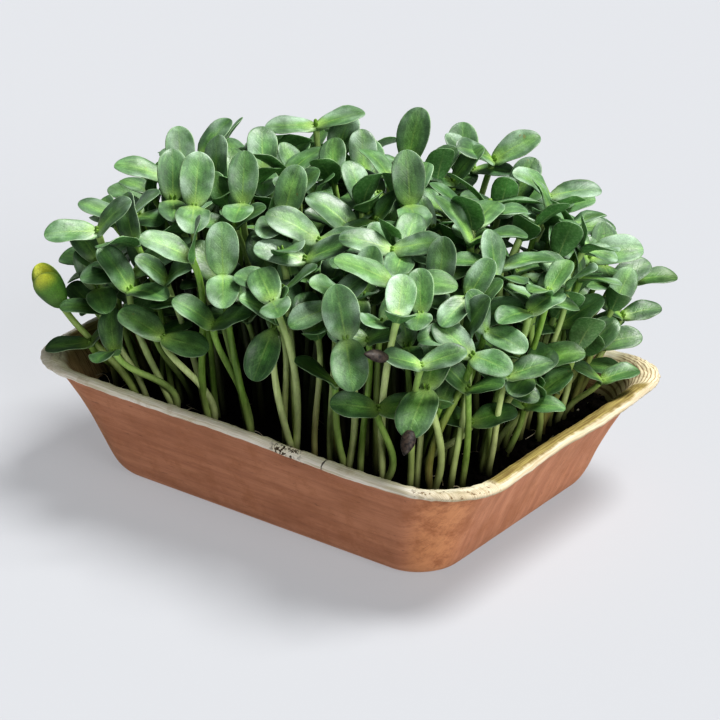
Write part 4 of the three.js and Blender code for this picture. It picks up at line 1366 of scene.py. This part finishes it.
def pale_look(name, first, second, rough):
    look = Look(name)
    place = look.object_space()
    grains = look.noise(place, 800, 4)
    colour = look.mix(look.ramp(grains, 0.35, 0.7), linear(first), linear(second))
    normal = look.bump(grains, 0.5, 0.3)
    roughness = look.ramp(grains, 0.3, 0.7, rough, rough + 0.15)
    return look.finish(colour, roughness, normal)


# The object.
seed_leaf = leaf_look()
stem_skin = stem_look()
palm_leaf = tray_look()
compost = soil_look()

make_tray(palm_leaf)
make_soil(compost)
holes, planted = plant()
fillers = fill_shoots(planted)
chances = random_stream(YOUTH_SEED)
for shoot in planted + fillers:
    shoot["filler"] = len(shoot["hole"]["shoots"]) == 0
    shoot["youth"] = 0.9 if shoot["closed"] else max(0, chances() * 1.3 - 1.0)
for number, hole in enumerate(holes, 1):
    make_shoots(f"fine_shoots_{number:02d}", hole["shoots"], [seed_leaf, stem_skin], [f"shoots_{number:02d}"])
for group in range(FILL_GROUPS):
    members = fillers[group::FILL_GROUPS]
    make_shoots(f"more_shoots_{group + 1:02d}", members, [seed_leaf, stem_skin])
make_crumbs(compost, pale_look("mineral_bits", 0xD8D2C4, 0xA89F8C, 0.7))
make_root_hairs(pale_look("root_skin", 0xE6DDCB, 0xC9B9A2, 0.5), planted + fillers)
make_husks(pale_look("seed_husk", 0x4A3F37, 0x1A1614, 0.5), planted + fillers)

# Floor, light and camera.
FLOOR_COLOUR = linear(0xE2E4E8)
FLOOR_LEVEL = 0.68
FLOOR_GLOW = 0.51
FLOOR_HALF = 4
FLOOR_DROP = 0.0001
corners = [(x * FLOOR_HALF, y * FLOOR_HALF, -FLOOR_DROP) for x, y in ((-1, -1), (1, -1), (1, 1), (-1, 1))]
floor_mesh = bpy.data.meshes.new("floor")
floor_mesh.from_pydata(corners, [], [(0, 1, 2, 3)])
floor = bpy.data.objects.new("floor", floor_mesh)
bpy.context.scene.collection.objects.link(floor)
floor_material = bpy.data.materials.new("floor")
floor_material.use_nodes = True
floor_shader = floor_material.node_tree.nodes["Principled BSDF"].inputs
lit = FLOOR_LEVEL * (1 - FLOOR_GLOW)
floor_shader["Base Color"].default_value = [level * lit for level in FLOOR_COLOUR[:3]] + [1]
floor_shader["Roughness"].default_value = 1
floor_shader["Specular IOR Level"].default_value = 0
floor_shader["Emission Color"].default_value = FLOOR_COLOUR
floor_shader["Emission Strength"].default_value = FLOOR_LEVEL * FLOOR_GLOW
floor_mesh.materials.append(floor_material)


def sun(name, place, strength, softness, colour):
    """A distant soft light that shines from the direction of place."""
    data = bpy.data.lights.new(name, "SUN")
    data.energy = strength
    data.angle = math.radians(softness)
    data.color = colour
    lamp = bpy.data.objects.new(name, data)
    lamp.location = place
    lamp.rotation_euler = Vector(place).to_track_quat("Z", "Y").to_euler()
    bpy.context.scene.collection.objects.link(lamp)


sun("overhead", tuple(from_view(410, -90, 1000) * MM), 3.2, 24, (1, 0.99, 0.98))
sun("front_fill", tuple(from_view(640, 1000, 600) * MM), 1.2, 31, (1, 0.99, 0.99))

world = bpy.data.worlds.new("soft_sky")
world.use_nodes = True
sky = world.node_tree.nodes["Background"].inputs
sky["Color"].default_value = (0.93, 0.965, 1.0, 1)
sky["Strength"].default_value = 0.12
scene = bpy.context.scene
scene.world = world
scene.view_settings.view_transform = "Standard"
scene.view_settings.look = "High Contrast"

CAMERA_LENS = 124.7
SENSOR_WIDTH = 36
azimuth, elevation = math.radians(VIEW_AZIMUTH), math.radians(VIEW_ELEVATION)
level = math.cos(elevation)
back = Vector((math.sin(azimuth) * level, -math.cos(azimuth) * level, math.sin(elevation)))
right = Vector((math.cos(azimuth), math.sin(azimuth), 0))
up = back.cross(right)
aim = Vector((0, 0, VIEW_AIM_HEIGHT * MM)) + VIEW_AIM[0] * MM * right + VIEW_AIM[1] * MM * up
camera_data = bpy.data.cameras.new("camera")
camera_data.lens = CAMERA_LENS
camera_data.sensor_width = SENSOR_WIDTH
camera = bpy.data.objects.new("camera", camera_data)
camera.location = aim + back * VIEW_DISTANCE * MM
camera.rotation_euler = back.to_track_quat("Z", "Y").to_euler()
scene.collection.objects.link(camera)
scene.camera = camera
